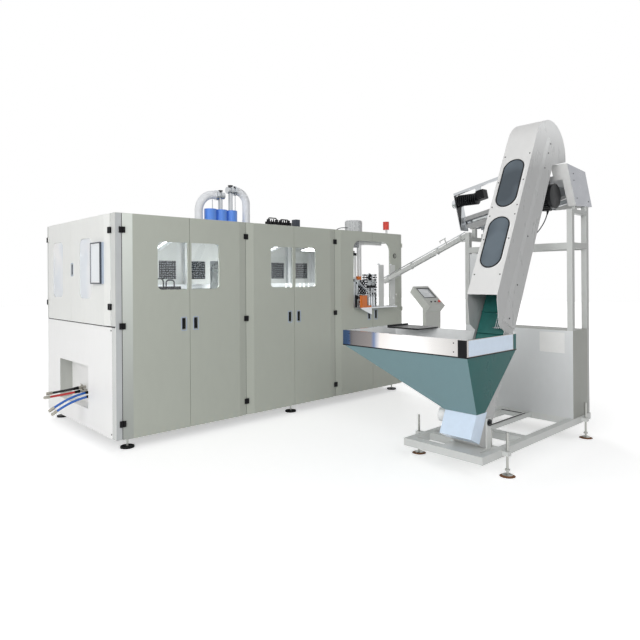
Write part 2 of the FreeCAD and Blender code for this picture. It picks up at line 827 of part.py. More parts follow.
def build_oven():
    """The preform oven: two lamp walls over a base, and the track on top."""
    bed = s.bed_height + s.bed_gauge
    left, long = s.oven_left, s.oven_long
    pieces = [box("oven_base", long, 1100, 40, left, 320, bed)]
    for i, y in enumerate((320, 1390)):
        pieces.append(box(f"lamp_wall_{i}", long, 30, 370, left, y, bed + 40))
        for k in range(3):
            lamp_y = y + 37 if i == 0 else y - 7
            pieces.append(rod(f"lamp_{i}{k}", 7, long - 60, left + 30, lamp_y,
                              bed + 100 + 110 * k, ALONG_X))
    for i, y in enumerate((600, 660)):
        pieces.append(box(f"track_{i}", s.track_long, 12, 30, s.track_left, y, bed + 430))
    for i, x in enumerate((2480, 3050)):
        pieces.append(box(f"track_leg_{i}", 30, 48, 410, x, 612, bed + 40))
    for k in range(6):
        x = left + 40 + 76 * k
        pieces.append(box(f"mandrel_base_{k}", 40, 72, 12, x - 20, 600, bed + 460))
        pieces.append(rod(f"mandrel_{k}", 12, 96, x, 636, bed + 472))
    node("oven_bank", group("oven_bank", pieces))


def build_starwheel():
    """Two pocketed plates on a hub with pegs between them, which carry the preforms round."""
    x, y, low, tall = s.star_x, s.star_y, s.star_low, s.star_tall
    disc, pockets = s.star_disc, 8
    pieces = [rod("star_hub", 34, tall - 2 * disc, x, y, low + disc)]
    for i, z in enumerate((low, low + tall - disc)):
        plate = rod(f"star_plate_{i}", s.star_radius, disc, x, y, z)
        bites = []
        for k in range(pockets):
            px, py = round_star(k, pockets, s.star_radius)
            bites.append(rod(f"star_pocket_{i}{k}", s.star_pocket, disc + 2, px, py, z - 1))
        pieces.append(cut(f"star_disc_{i}", plate, fuse(f"star_pockets_{i}", bites)))
    for k in range(pockets):
        px, py = round_star(k + 0.5, pockets, s.star_radius - 14)
        pieces.append(rod(f"star_peg_{k}", 8, tall - 2 * disc, px, py, low + disc))
    node("starwheel", group("starwheel", pieces))


def round_star(step, count, radius):
    """The place of one of the steps of a circle round the starwheel's axis."""
    angle = 2 * math.pi * step / count
    return s.star_x + radius * math.cos(angle), s.star_y + radius * math.sin(angle)


def build_infeed():
    """What stands in the infeed window: tray, posts, cylinder and guides."""
    z = s.tray_low
    top = z + 12
    pieces = [box("tray", 685, 400, 12, 2995, -150, z)]
    pieces.append(box("post_left", 93, 8, 529, 3336, -140, top))
    pieces.append(box("post_right", 99, 8, 530, 3554, -140, top))
    pieces.append(box("post_right_foot", 99, 60, 8, 3554, -132, top))
    pieces.append(box("post_left_foot", 93, 60, 8, 3336, -132, top))
    pieces.append(box("cylinder_stand", 54, 60, 365, 3160, 120, top))
    pieces.append(rod("cylinder", 27, 285, 3187, 150, top + 365))
    pieces.append(rod("cylinder_cap", 33, 34, 3187, 150, top + 650))
    pieces.append(box("guide_left", 30, 14, 830, 3243, 140, top))
    pieces.append(box("guide_right", 24, 14, 830, 3292, 140, top))
    pieces.append(box("guide_head", 190, 60, 25, 3126, 110, top + 830))
    pieces.append(box("header", 500, 30, 42, 3140, 80, top + 792))
    pieces.append(rod("star_post", 30, s.star_low - 2 - top, s.star_x, s.star_y, top))
    pieces.append(box("feeder_block", 90, 70, 150, 3200, -20, top))
    pieces.append(box("feeder_plate", 80, 120, 10, 3180, -40, top + 150))
    pieces.append(rod("feeder_wheel", 34, 18, 3240, -38, top + 70, ALONG_Y))
    pieces.append(box("rail_hook", 74, 8, 30, s.rail_x + 25, -140, 1452))
    pieces += grippers(top)
    pieces += chute(top)
    for i, x in enumerate((3080, 3590)):
        pieces.append(box(f"tray_leg_{i}", 60, 60, z - s.bed_height - s.bed_gauge, x, 180,
                          s.bed_height + s.bed_gauge))
    gusset = doc.addObject("PartDesign::Body", "gusset")
    sketch = new_sketch(gusset, "Triangle", "XZ_Plane")
    outline(sketch, [(0, 0), (205, 0), (205, -84)])
    pad(gusset, "Web", sketch, s.sheet_gauge + 5)
    gusset.Placement = machine_place(3030, -100, z)
    pieces.append(gusset)
    node("infeed_station", group("infeed_station", pieces))


def grippers(top):
    """Three small air cylinders that lift the grippers, and their guide rods."""
    pieces = []
    for k in range(3):
        x, y = 3215 + 46 * k, -75
        pieces.append(rod(f"lift_{k}", 16, 130, x, y, top))
        pieces.append(rod(f"lift_rod_{k}", 7, 110, x, y, top + 130))
        pieces.append(box(f"gripper_{k}", 38, 44, 30, x - 19, y - 22, top + 240))
        for side in (-1, 1):
            pieces.append(box(f"finger_{k}{side + 1}", 8, 10, 62, x + side * 13 - 4, y - 5,
                              top + 270))
    for i, (x, tall) in enumerate(((3085, 318), (3130, 290))):
        pieces.append(rod(f"guide_post_{i}", 13, tall, x, 60, top))
    pieces.append(rod("feed_roller", 27, 16, 3046, -36, top + 124, ALONG_Y))
    pieces.append(box("feed_roller_arm", 22, 12, 150, 3035, -20, top))
    return pieces


def chute(top):
    """Two sloping rods that the preforms slide down to the starwheel."""
    start, end = Vector(3168, 0, float(top) + 330), Vector(3355, 0, float(top) + 196)
    way = end - start
    turn = Rotation(Y_AXIS, math.degrees(math.atan2(way.x, way.z)))
    pieces = [rod(f"chute_rod_{i}", 7, way.Length, start.x, y, start.z, turn)
              for i, y in enumerate((70, 96))]
    pieces.append(box("chute_post", 18, 50, 338, 3160, 58, top))
    return [fuse("chute", pieces)]


def build_infeed_brackets():
    """The painted guide block and the angle bracket of the infeed."""
    z = s.tray_low + 12
    block = box("guide_block", 52, 40, 44, 3215, 100, z + 342)
    upright = box("angle_upright", 92, 40, 126, 3028, -135, z + 22)
    toe = box("angle_toe", 168, 40, 22, 3028, -135, z)
    angle = fuse("angle", [upright, toe])
    node("infeed_brackets", group("infeed_brackets", [block, angle]))


# ---------------------------------------------------------------- roof


def build_roof_tanks():
    pieces = []
    for i in range(3):
        pieces.append(rod(f"tank_{i}", s.tank_radius, s.tank_tall, 1311 + 2.03 * 67.5 * i, 550,
                          s.cab_height))
    node("roof_cylinders", group("roof_cylinders", pieces))


def build_roof_valves():
    """Risers and valve heads on the tanks, and the valve island beside them."""
    deck = s.cab_height + s.tank_tall
    stack = []
    for i, (x, tall) in enumerate(((1441, 130), (1576, 200))):
        stack.append(rod(f"riser_{i}", 26, tall, x, 550, deck))
    for i, (x, z) in enumerate(((1395, 2445), (1530, 2516))):
        stack.append(rod(f"head_{i}", 38, 92, x, 550, z, ALONG_X))
        stack.append(rod(f"head_ring_{i}", 50, 16, x + 38, 550, z, ALONG_X))
    pieces = [fuse("valve_stack", stack)]
    for i, (x, tall) in enumerate(((1338, 108), (1640, 180))):
        pieces.append(rod(f"stay_{i}", 5, tall, x, 550, deck))
    base = s.cab_height
    pieces.append(box("island", 420, 90, 34, 2064, 470, base))
    for k in range(6):
        pieces.append(box(f"valve_{k}", 42, 74, 62, 2070 + 62 * k, 478, base + 34))
    pieces.append(box("regulator", 66, 80, 144, 2490, 475, base))
    pieces.append(rod("bowl", 26, 60, 2034, 515, base))
    for k, (left, right, rise) in enumerate(((2091, 2215, 44), (2277, 2401, 36))):
        high = base + 96
        route = [(left, 515, high), (left, 515, high + rise), (right, 515, high + rise),
                 (right, 515, high)]
        pieces.append(tube(f"valve_line_{k}", route, 7))
    node("roof_valves", group("roof_valves", pieces))


def duct_rings(path):
    """Circles along a path, four to a rib, standing square to it."""
    circles = []
    for place, along, radius in path:
        ring = Part.Circle(place, along, float(radius))
        circles.append(Part.Wire([ring.toShape()]))
    return circles


def bend_path(start, way, rise, radius, drop, ribs):
    """Points of a duct that leaves sideways, bends down and drops straight."""
    arc = radius * math.pi / 2
    total = rise + arc + drop
    count = ribs * 4
    points = []
    for k in range(count + 1):
        run = total * k / count
        if run <= rise:
            place = Vector(start.x + way * run, start.y, start.z)
            along = Vector(way, 0, 0)
        elif run <= rise + arc:
            turn = (run - rise) / radius
            place = Vector(start.x + way * (rise + radius * math.sin(turn)), start.y,
                           start.z - radius * (1 - math.cos(turn)))
            along = Vector(way * math.cos(turn), 0, -math.sin(turn))
        else:
            place = Vector(start.x + way * (rise + radius), start.y,
                           start.z - radius - (run - rise - arc))
            along = Vector(0, 0, -1)
        crest = k % 4 in (1, 2) and rise < run < total - radius / 3
        points.append((place, along, s.hose_radius if crest else s.hose_radius - 4))
    return points


def make_duct(name, x, z, way, rise, radius, ribs):
    """A ribbed air duct: a ruled loft through its circles, from a valve head to the roof."""
    start = Vector(0, 0, 0)
    drop = z - radius - float(s.cab_height)
    path = bend_path(start, way, rise, radius, drop, ribs)
    bore = [(place, along, s.hose_radius - 8) for place, along, _ in path[::4]]
    duct = doc.addObject("Part::Feature", name)
    wall = Part.makeLoft(duct_rings(path), True, True)
    duct.Shape = wall.cut(Part.makeLoft(duct_rings(bore), True, True))
    duct.Placement = machine_place(x, 550, z)
    return duct


def build_roof_hoses():
    right = make_duct("duct_right", 1622, 2516, 1, 30, 140, 12)
    left = make_duct("duct_left", 1395, 2445, -1, 40, 190, 12)
    cable = tube("fan_cable", [(3053, 350, s.cab_height), (3053, 350, 2176),
                               (3277.5, 350, 2176)], 5)
    node("roof_hoses", group("roof_hoses", [right, left, cable]))


def tube(name, corners, radius):
    """A round cable of straight runs joined by arcs, each 0.45 of the shorter run."""
    places = [Vector(float(x) - s.origin_x, float(y) - s.origin_y, float(z))
              for x, y, z in corners]
    runs, begin = [], places[0]
    for i in range(1, len(places) - 1):
        before, corner, after = places[i - 1], places[i], places[i + 1]
        back, ahead = (before - corner).normalize(), (after - corner).normalize()
        half = back.getAngle(ahead) / 2
        setback = 0.45 * min((before - corner).Length, (after - corner).Length)
        bend = setback * math.tan(half)
        print(f"{name} bend {i}: radius {bend:.0f}")
        first, last = corner + back * setback, corner + ahead * setback
        centre = corner + (back + ahead).normalize() * (bend / math.sin(half))
        runs.append(straight_run(begin, first, radius))
        section = Part.Face(Part.Wire(Part.Circle(first, back, float(radius)).toShape()))
        axis = ahead.cross(back).normalize()
        turn = 180 - math.degrees(2 * half)
        runs.append(section.revolve(centre, axis, turn))
        begin = last
    runs.append(straight_run(begin, places[-1], radius))
    swept = doc.addObject("Part::Feature", name)
    swept.Shape = runs[0].multiFuse(runs[1:]).removeSplitter() if len(runs) > 1 else runs[0]
    return swept


def straight_run(start, end, radius):
    way = end - start
    return Part.makeCylinder(float(radius), way.Length, start, way)


def build_fan_and_beacon():
    drum = rod("fan_drum", s.fan_radius, s.fan_tall - 14, 3393, 350, s.cab_height)
    lid = rod("fan_lid", s.fan_radius - 8, 14, 3393, 350, s.cab_height + s.fan_tall - 14)
    node("roof_fan", fuse("roof_fan", [drum, lid]))
    stem = rod("beacon_stem", 14, 58, 3770, 100, s.cab_height)
    lens = rod("beacon_lens", s.lens_radius, s.lens_tall, 3763, 100, s.cab_height + 58)
    node("beacon", fuse("beacon", [stem, lens]))


# ---------------------------------------------------------------- supplies


HOSES = (
    ("red", 11, ((52, 1000, 388), (-250, 990, 374))),
    ("black", 12, ((52, 1040, 416), (-215, 1030, 402))),
    ("blue_high", 11, ((52, 720, 420), (-120, 712, 420), (-300, 700, 318))),
    ("blue_low", 11, ((52, 690, 385), (-120, 676, 385), (-290, 660, 290))),
)


def build_supplies():
    """Supply lines that leave the recess, and the valves that they hang on."""
    lines = [tube(f"hose_{name}", corners, radius) for name, radius, corners in HOSES]
    for name, radius, corners in HOSES:
        (ax, ay, az), (bx, by, bz) = corners[-2:]
        along = Vector(bx - ax, by - ay, bz - az).normalize()
        turn = Rotation(Z_AXIS, along)
        lines.append(rod(f"coupling_{name}", radius + 5, 42, bx, by, bz, turn))
    node("supply_hoses", group("supply_hoses", lines))
    back = s.recess_depth - s.sheet_gauge
    pieces = []
    for name, radius, corners in HOSES:
        x, y, z = corners[0]
        stub = rod(f"stub_{name}", radius + 3, back - x - 1.5, x + 1.5, y, z, ALONG_X)
        valve = rod(f"ball_{name}", radius + 9, 28, x + 22, y, z, ALONG_X)
        spindle = box(f"spindle_{name}", 12, 12, radius + 18, x + 30, y - 6, z)
        reach = -36 if name in ("red", "blue_low") else -6
        handle = box(f"handle_{name}", 12, 42, 5, x + 30, y + reach, z + radius + 17)
        pieces.append(fuse(f"fitting_{name}", [stub, valve, spindle, handle]))
    node("hose_fittings", group("hose_fittings", pieces))


# ---------------------------------------------------------------- elevator tower

LEAN = Rotation(Y_AXIS, float(s.lean))
TOWER = machine_place(s.tower_x, s.tower_near, s.tower_z, LEAN)


def leaning(across, along):
    """Machine X and Z of a place in the tower's own frame: across runs to its back."""
    angle = math.radians(float(s.lean))
    x = s.tower_x + across * math.cos(angle) + along * math.sin(angle)
    z = s.tower_z - across * math.sin(angle) + along * math.cos(angle)
    return x, z


def closed_outline(sketch, corners, arc):
    """Straight lines through the corners, closed by one arc: centre, radius, angles."""
    first = sketch.GeometryCount
    points = [Vector(float(a), float(b), 0) for a, b in corners]
    for i in range(len(points) - 1):
        sketch.addGeometry(Part.LineSegment(points[i], points[i + 1]), False)
        if i:
            sketch.addConstraint(Sketcher.Constraint("Coincident", first + i - 1, 2,
                                                     first + i, 1))
    centre, radius, start, end = arc
    circle = Part.Circle(Vector(float(centre[0]), float(centre[1]), 0), Z_AXIS, float(radius))
    sketch.addGeometry(Part.ArcOfCircle(circle, start, end), False)
    last = sketch.GeometryCount - 1
    sketch.addConstraint(Sketcher.Constraint("Coincident", last, 1, last - 1, 2))
    sketch.addConstraint(Sketcher.Constraint("Coincident", last, 2, first, 1))
    sketch.addConstraint(Sketcher.Constraint("Radius", last, float(radius)))
    for i, (a, b) in enumerate(corners[:-1]):
        bind_distance(sketch, "DistanceX", first + i, 1, a)
        bind_distance(sketch, "DistanceY", first + i, 1, b)


def stadium(sketch, middle, low, wide, long):
    """A slot with round ends, standing upright."""
    radius = wide / 2
    left, right = middle - radius, middle + radius
    bottom, top = low + radius, low + long - radius
    first = sketch.GeometryCount
    r = float(radius)
    ends = [(float(top), 0.0, math.pi), (float(bottom), math.pi, 2 * math.pi)]
    for height, start, end in ends:
        circle = Part.Circle(Vector(float(middle), height, 0), Z_AXIS, r)
        sketch.addGeometry(Part.ArcOfCircle(circle, start, end), False)
    sides = [((left, top), (left, bottom)), ((right, bottom), (right, top))]
    for (ax, ay), (bx, by) in sides:
        sketch.addGeometry(Part.LineSegment(Vector(float(ax), float(ay), 0),
                                            Vector(float(bx), float(by), 0)), False)
    joins = ((first, 2, first + 2, 1), (first + 2, 2, first + 1, 1),
             (first + 1, 2, first + 3, 1), (first + 3, 2, first, 1))
    for a, a_end, b, b_end in joins:
        sketch.addConstraint(Sketcher.Constraint("Coincident", a, a_end, b, b_end))
    for number, value in ((first, top), (first + 1, bottom)):
        bind_distance(sketch, "DistanceX", number, 3, middle)
        bind_distance(sketch, "DistanceY", number, 3, value)
    number = sketch.addConstraint(Sketcher.Constraint("Radius", first, r))
    if isinstance(radius, Cell):
        sketch.setExpression(f"Constraints[{number}]", radius.text)


def on_arc(centre, radius, angle):
    return (centre[0] + radius * math.cos(angle), centre[1] + radius * math.sin(angle))


def housing_outline(sketch, inset):
    """The side shape of the tower, or the hollow that leaves its skins."""
    lean = math.radians(float(s.lean))
    centre = (s.arch_across, s.arch_along)
    radius = s.arch_radius - inset
    start = on_arc(centre, radius, lean)
    end = on_arc(centre, radius, math.pi)
    front = s.arch_radius - s.arch_across - inset
    if inset:
        corners = [end, (0 - front, s.mouth_along - 60), (-345, 920), (-345, 0 - s.boot_drop + inset),
                   (s.rear_in - inset, 0 - s.boot_drop + inset), (s.rear_in - inset, 2500),
                   (300.7, 2689), start]
    else:
        corners = [end, (0 - front, s.mouth_along), (-281, 1012), (-165, 843), (-68, 831),
                   (-68, 0 - s.boot_drop), (s.rear_in, 0 - s.boot_drop), (s.rear_in, 2510),
                   (296.7, 2704), start]
    closed_outline(sketch, corners, (centre, radius, lean, math.pi))


def raised_cover(name, y, outward):
    """The raised band on a side of the tower, with a sloping edge all round its front."""
    body = doc.addObject("PartDesign::Body", name)
    sketch = new_sketch(body, "Foot", "XZ_Plane")
    slim = new_sketch(body, "Crown", "XZ_Plane", lift=12.0 * outward)
    for outline_sketch, shrink in ((sketch, 0), (slim, 40)):
        radius = 56 - shrink * 0.8
        centre = (-57, 2669)
        corners = [(-57 - radius, 2669), (-136 + shrink, 900), (60, 900), (60, 2505),
                   (-57 + radius, 2669)]
        closed_outline(outline_sketch, corners, (centre, radius, 0.0, math.pi))
    loft = body.newObject("PartDesign::AdditiveLoft", "Band")
    loft.Profile = sketch
    loft.Sections = [slim]
    loft.Ruled = True
    body.Placement = machine_place(s.tower_x, y, s.tower_z, LEAN)
    return body


def build_housing():
    """The leaning tower: two side plates, front and back covers and the round head."""
    body = doc.addObject("PartDesign::Body", "tower_shell")
    side = new_sketch(body, "Side", "XZ_Plane")
    housing_outline(side, 0)
    pad(body, "Blank", side, s.tower_wide, back=True)
    hollow = new_sketch(body, "HollowSketch", "XZ_Plane", lift=-float(s.tower_skin))
    housing_outline(hollow, s.tower_skin)
    pocket(body, "Hollow", hollow, s.tower_wide - 2 * s.tower_skin)
    panes = new_sketch(body, "PaneSketch", "YZ_Plane", lift=-260.0)
    for low in (s.glass_low, s.glass_high):
        stadium(panes, s.tower_wide / 2, low + 12, s.glass_wide - 24, s.glass_long - 24)
    pocket(body, "PaneOpenings", panes, 60)
    body.Placement = TOWER
    near = raised_cover("near_cover", s.tower_near, 1)
    far = raised_cover("far_cover", s.tower_near + s.tower_wide, -1)
    node("tower_housing", fuse("tower_housing", [body, near, far]))


def build_tower_glass():
    body = doc.addObject("PartDesign::Body", "tower_windows")
    front = float(s.arch_radius - s.arch_across)
    sketch = new_sketch(body, "Panes", "YZ_Plane", lift=-front)
    for low in (s.glass_low, s.glass_high):
        stadium(sketch, s.tower_wide / 2, low, s.glass_wide, s.glass_long)
    pad(body, "Glass", sketch, 7, back=True)
    body.Placement = TOWER
    node("tower_windows", body)


def build_belt():
    """The cleated belt, and the two drums that it runs round."""
    body = doc.addObject("PartDesign::Body", "belt")
    inset = (s.tower_wide - s.belt_wide) / 2
    loop = new_sketch(body, "Loop", "XZ_Plane", lift=-float(inset))
    outer = s.drum_radius + 0.4 + s.belt_gauge
    for reach in (outer, s.drum_radius + 0.4):
        stadium(loop, s.belt_across, s.tail_along - reach, 2 * reach,
                s.head_along - s.tail_along + 2 * reach)
    pad(body, "Web", loop, s.belt_wide, back=True)
    cleat = new_sketch(body, "Cleat", "XZ_Plane", lift=-float(inset + 6))
    rectangle(cleat, s.belt_across - outer - s.cleat, s.tail_along + 40, s.cleat + 1, 6)
    rectangle(cleat, s.belt_across + outer - 1, s.tail_along + 120, s.cleat + 1, 6)
    first = pad(body, "Cleats", cleat, s.belt_wide - 12, back=True)
    row = body.newObject("PartDesign::LinearPattern", "CleatRow")
    row.Originals = [first]
    row.Direction = (origin_plane(body, "Z_Axis"), [""])
    row.Length = 2280
    row.Occurrences = 13
    body.Tip = row
    body.Placement = TOWER
    node("belt", body)
    for name, along in (("tail_drum", s.tail_along), ("head_drum", s.head_along)):
        x, z = leaning(s.belt_across, along)
        near = s.tower_near + s.tower_skin
        roller = rod(name + "_shell", s.drum_radius, s.belt_wide, x, s.tower_near + inset, z,
                     ALONG_Y)
        shaft = rod(name + "_shaft", 14, s.tower_wide - 2 * s.tower_skin - 1, x, near + 0.5, z,
                    ALONG_Y)
        node(name, fuse(name, [roller, shaft]))


def build_motor():
    """The belt's motor on its arm, with cooling fins along it."""
    x, z = s.motor_x, s.motor_z
    near = s.tower_near + 20
    radius, long, fins = s.motor_radius, s.motor_long, int(s.motor_fins)
    can = rod("motor_can", radius, long, x, near + 20, z, ALONG_Y)
    cowl = rod("motor_cowl", radius + 12, 36, x, near, z, ALONG_Y)
    flange = rod("motor_flange", radius + 8, 24, x, near + 16 + long, z, ALONG_Y)
    parts = [can, cowl, flange]
    for k in range(fins):
        turn = Rotation(Y_AXIS, 360 * k / fins + 8)
        corner = turn.multVec(Vector(float(radius) - 4, 0, -3))
        parts.append(box(f"fin_{k}", 15, long - 10, 6, x + corner.x, near + 30, z + corner.z,
                         turn))
    far = s.tower_near + s.tower_wide
    arm = box("motor_arm", 330, 12, 110, x - 250, far + 12, z + 20)
    pin = rod("motor_pin", 34, 15, x, far - 1, z + 40, ALONG_Y)
    case = box("motor_terminal", 60, 70, 60, x, near + 60, z - 130)
    parts += [arm, pin, case]
    cable = tube("motor_cable", [(3130, -2410, z - 133), (3206, -2340, 1960),
                                 (3206, -2130, 1834)], 5)
    node("drive_motor", group("drive_motor", [fuse("motor", parts), cable]))


def build_hood():
    """The discharge hood: folded sheet open at its left, its top and its foot."""
    body = doc.addObject("PartDesign::Body", "hood_shell")
    outer = [(3112, 2548), (3520, 2520), (3680, 2195), (3305, 2176)]
    right = [(3000, 2600), (3516.5, 2600), (3516.5, 2519), (3676.5, 2194), (3676.5, 2100),
             (3000, 2100)]
    sketch = new_sketch(body, "Side", "XZ_Plane")
    outline(sketch, outer)
    pad(body, "Blank", sketch, s.hood_wide, back=True)
    hollow = new_sketch(body, "HollowSketch", "XZ_Plane", lift=-float(s.sheet_gauge))
    outline(hollow, right)
    pocket(body, "Hollow", hollow, s.hood_wide - 2 * s.sheet_gauge)
    clear = new_sketch(body, "RollerGap", "XZ_Plane", lift=-float(s.hood_wide - 20))
    outline(clear, [(3100, 2100), (3600, 2100), (3600, 2400), (3100, 2400)])
    pocket(body, "RollerWay", clear, 40)
    body.Placement = machine_place(0, s.hood_near, 0)
    lip = box("hood_lip", 3, 70, 416, 3305, s.hood_near + 3, 2178, Rotation(Y_AXIS, -27.4))
    ear = box("hood_ear", 3, 150, 150, 3182, s.hood_near + 3, 2415, Rotation(Y_AXIS, -27.4))
    node("discharge_hood", fuse("discharge_hood", [body, lip, ear]))


# ---------------------------------------------------------------- hopper


def tapered(name, low, high):
    """A frustum between two upright rectangles: each is x, y, z, length, width."""
    wedge = doc.addObject("Part::Wedge", name)
    foot_x, foot_y, foot_z, foot_long, foot_wide = low
    x, y, z, length, width = high
    bind(wedge, Xmin=foot_x - x, Ymin=0, Zmin=foot_y - y, X2min=0, Z2min=0,
         Xmax=foot_x - x + foot_long, Ymax=z - foot_z, Zmax=foot_y - y + foot_wide,
         X2max=length, Z2max=width)
    turned = Rotation(X_AXIS, 90)
    wedge.Placement = machine_place(x, y, foot_z, turned)
    mirrored = doc.addObject("Part::Mirroring", name + "_seen")
    mirrored.Source = wedge
    mirrored.Base = machine_place(x, y, foot_z).Base
    mirrored.Normal = Y_AXIS
    return mirrored


def build_hopper():
    """The teal funnel; the tower's leg comes up through its right wall."""
    t = s.hop_gauge
    outer = tapered("funnel_outer", (1680, -2526, s.hop_low, 120, s.mouth_wide),
                    (s.hop_left, s.hop_near, s.hop_mid, s.hop_long, s.hop_wide))
    inner = tapered("funnel_inner", (1680 + t, -2526 + t, s.hop_low - 0.5, 120 - 2 * t,
                                     s.mouth_wide - 2 * t),
                    (s.hop_left + t, s.hop_near + t, s.hop_mid + 0.5, s.hop_long - 2 * t,
                     s.hop_wide - 2 * t))
    x, z = leaning(-70, 0)
    leg = box("leg_way", 136, s.tower_wide + 5, 1300, x, s.tower_near - 2.5, z, LEAN)
    funnel = cut("funnel", cut("funnel_shell", outer, inner), leg)
    node("hopper", funnel)


def build_rim():
    """The polished rim of the hopper, and the boot under its mouth."""
    t = s.rim_gauge
    tall = s.hop_top - s.hop_mid
    block = box("rim_outer", s.hop_long, s.hop_wide, tall, s.hop_left, s.hop_near, s.hop_mid)
    well = box("rim_inner", s.hop_long - 2 * t, s.hop_wide - 2 * t, tall + 2, s.hop_left + t,
               s.hop_near + t, s.hop_mid - 1)
    x, z = leaning(-302, 0)
    notch = box("tower_way", 368, s.tower_wide + 5, 1600, x, s.tower_near - 2.5, z, LEAN)
    ring = cut("rim_ring", cut("rim_frame", block, well), notch)
    x, z = leaning(-s.boot_out, 0 - s.boot_drop)
    near = s.tower_near - 3
    shell = box("boot_outer", s.boot_out - 50, s.tower_wide + 6, 300, x, near, z, LEAN)
    x, z = leaning(-s.boot_out + 3, 0 - s.boot_drop + 3)
    cavity = box("boot_inner", s.boot_out, s.tower_wide, 400, x, near + 3, z, LEAN)
    x, z = leaning(-69, 0 - s.boot_drop - 5)
    heel = box("boot_heel", 60, s.tower_wide, 60, x, near + 3, z, LEAN)
    top = box("boot_top", 600, 600, 400, 1500, -2700, s.hop_low)
    boot = cut("boot", cut("boot_open", shell, fuse("boot_ways", [cavity, heel])), top)
    tray = box("side_tray", 290, 350, 12, 1900, -1830, s.hop_top)
    lip = box("side_tray_lip", 290, 10, 26, 1900, -1490, s.hop_top)
    shelf = fuse("shelf", [tray, lip])
    x, z = 1752, 416
    cap = rod("boot_cap", 57, 70, x, s.tower_near + s.tower_wide + 16, z, ALONG_Y)
    neck = rod("boot_neck", 40, 14, x, s.tower_near + s.tower_wide + 4, z, ALONG_Y)
    node("hopper_rim", group("hopper_rim", [ring, boot, shelf, fuse("end_cap", [cap, neck])]))


# ---------------------------------------------------------------- stand

STAND_FEET = ((1908, -2648), (3375, -2648), (1894, -1832), (3375, -1452))


def build_stand():
    """Base rails, stand posts and the side plates of the unscrambler."""
    t, low = s.tube, s.base_low
    far, near, left = s.base_far, s.base_near, s.base_left
    right = s.stand_right
    depth = far - near
    pieces = [
        box("near_rail", right - left, t, t, left, near, low),
        box("far_rail", s.stand_left - left, t, t, left, far - t, low),
        box("left_rail", 84, depth - 2 * t, t, left, near + t, low),
        box("inner_rail", t, depth - 2 * t, t, 1875, near + t, low),
        box("second_rail", 80, depth - 2 * t, t, 2295, near + t, low),
        box("box_rail_left", t, s.stand_far - near - t, t, s.stand_left, near + t, low),
        box("box_rail_right", t, s.stand_far - near - t, t, right - t, near + t, low),
    ]
    for i, (x, y) in enumerate(STAND_FEET):
        edge = far if i == 2 else s.stand_far
        start, reach = (y - 20, near - (y - 20)) if i < 2 else (edge, y + 20 - edge)
        lug = box(f"lug_{i}", 50, reach, 34, x - 25, start, low + 13)
        pieces.append(cut(f"ear_{i}", lug, rod(f"ear_hole_{i}", 10.4, 60, x, y, low)))
    pieces.append(box("tower_shelf", 1875 - (left + 84), 310, 12, left + 84, -2540,
                      low + t - 12))
    for i, y in enumerate((s.tower_near - 12, s.tower_near + s.tower_wide)):
        pieces.append(box(f"tower_lug_{i}", 60, 12, 230, 1815, y, low + t))
    pieces += low_frame(low + t)
    near_face = s.tower_near - 12
    pieces.append(rod("leg_bearing", 26, 12, 1845, near_face - 12, 396, ALONG_Y))
    pieces.append(rod("leg_bearing_hub", 12, 8, 1845, near_face - 20, 396, ALONG_Y))
    pieces.append(rod("tension_screw", 6, 128, 1889, s.tower_near - 6, low + t))
    p = s.stand_tube
    floor = s.base_low + t
    deck = s.box_top
    posts = (("p1", s.stand_left, near + 10, deck, s.stand_top),
             ("p2", right - p, near + 10, floor, s.stand_top + 46.4),
             ("p3", s.stand_left, s.stand_far - p, deck, s.stand_top - 150),
             ("p4", right - p, s.stand_far - p, floor, s.stand_top - 150))
    for name, x, y, z, top in posts:
        pieces.append(box(name, p, p, top - z, x, y, z))
    span = s.stand_far - near - 10 - 2 * p
    wide = right - s.stand_left - 2 * p
    pieces.append(box("side_bar_left", p, span, t, s.stand_left, near + 10 + p,
                      s.crossbar))
    pieces.append(box("side_bar_right", p, span, t, right - p, near + 10 + p, s.crossbar))
    pieces.append(box("near_bar_low", wide, p, p, s.stand_left + p, near + 10,
                      s.crossbar + 10))
    pieces.append(box("near_bar_top", wide, p, 40, s.stand_left + p, near + 10, 2100))
    pieces.append(box("far_bar_low", wide, p, t, s.stand_left + p, s.stand_far - p,
                      s.crossbar))
    pieces.append(box("far_bar_top", wide, p, 40, s.stand_left + p, s.stand_far - p, 1900))
    pieces.append(box("rail_arm", 34, 214, 16, s.rail_x - 17, s.stand_far, 1911))
    for i, (x, far_low, near_low) in enumerate(((s.rail_x - 138, 1940, s.stand_top),
                                                (s.rail_x + 88, 1990, s.stand_top + 46.4))):
        pieces.append(box(f"far_stilt_{i}", 40, 40, 2038 - far_low, x, s.stand_far - 45,
                          far_low))
        pieces.append(box(f"near_stilt_{i}", 40, 26, s.stand_top + 128 - near_low, x, near + 34,
                          near_low))
    node("elevator_frame", group("elevator_frame", pieces))


def low_frame(deck):
    """A lighter frame between the base rails, with a rubber strip along its top."""
    bar, strip = 40, 8
    left, right, near, far = 2375, s.stand_left, -2210, s.base_far - s.tube
    inner = 3050
    return [
        box("low_bar_x", right - left, bar, bar, left, near, deck - bar),
        box("low_bar_y", bar, far - near - bar, bar, inner, near + bar, deck - bar),
        box("low_strip_x", inner + bar - left, 12, strip, left, near + 14, deck),
        box("low_strip_y", 12, far - near - 26, strip, inner + 14, near + 26, deck),
    ]


ROLL = Rotation(X_AXIS, -float(s.roll_lean))


def rolled(along, up):
    """Machine Y and Z of a place in the unscrambler's frame: along rises to the tower."""
    angle = math.radians(float(s.roll_lean))
    y = s.roll_y - along * math.cos(angle) + up * math.sin(angle)
    z = s.roll_z + along * math.sin(angle) + up * math.cos(angle)
    return y, z


def leaning_box(name, length, width, height, x, along, up):
    """A box in the unscrambler's frame, from its lower end up the slope."""
    y, z = rolled(along + width, up)
    return box(name, length, width, height, x, y, z, ROLL)


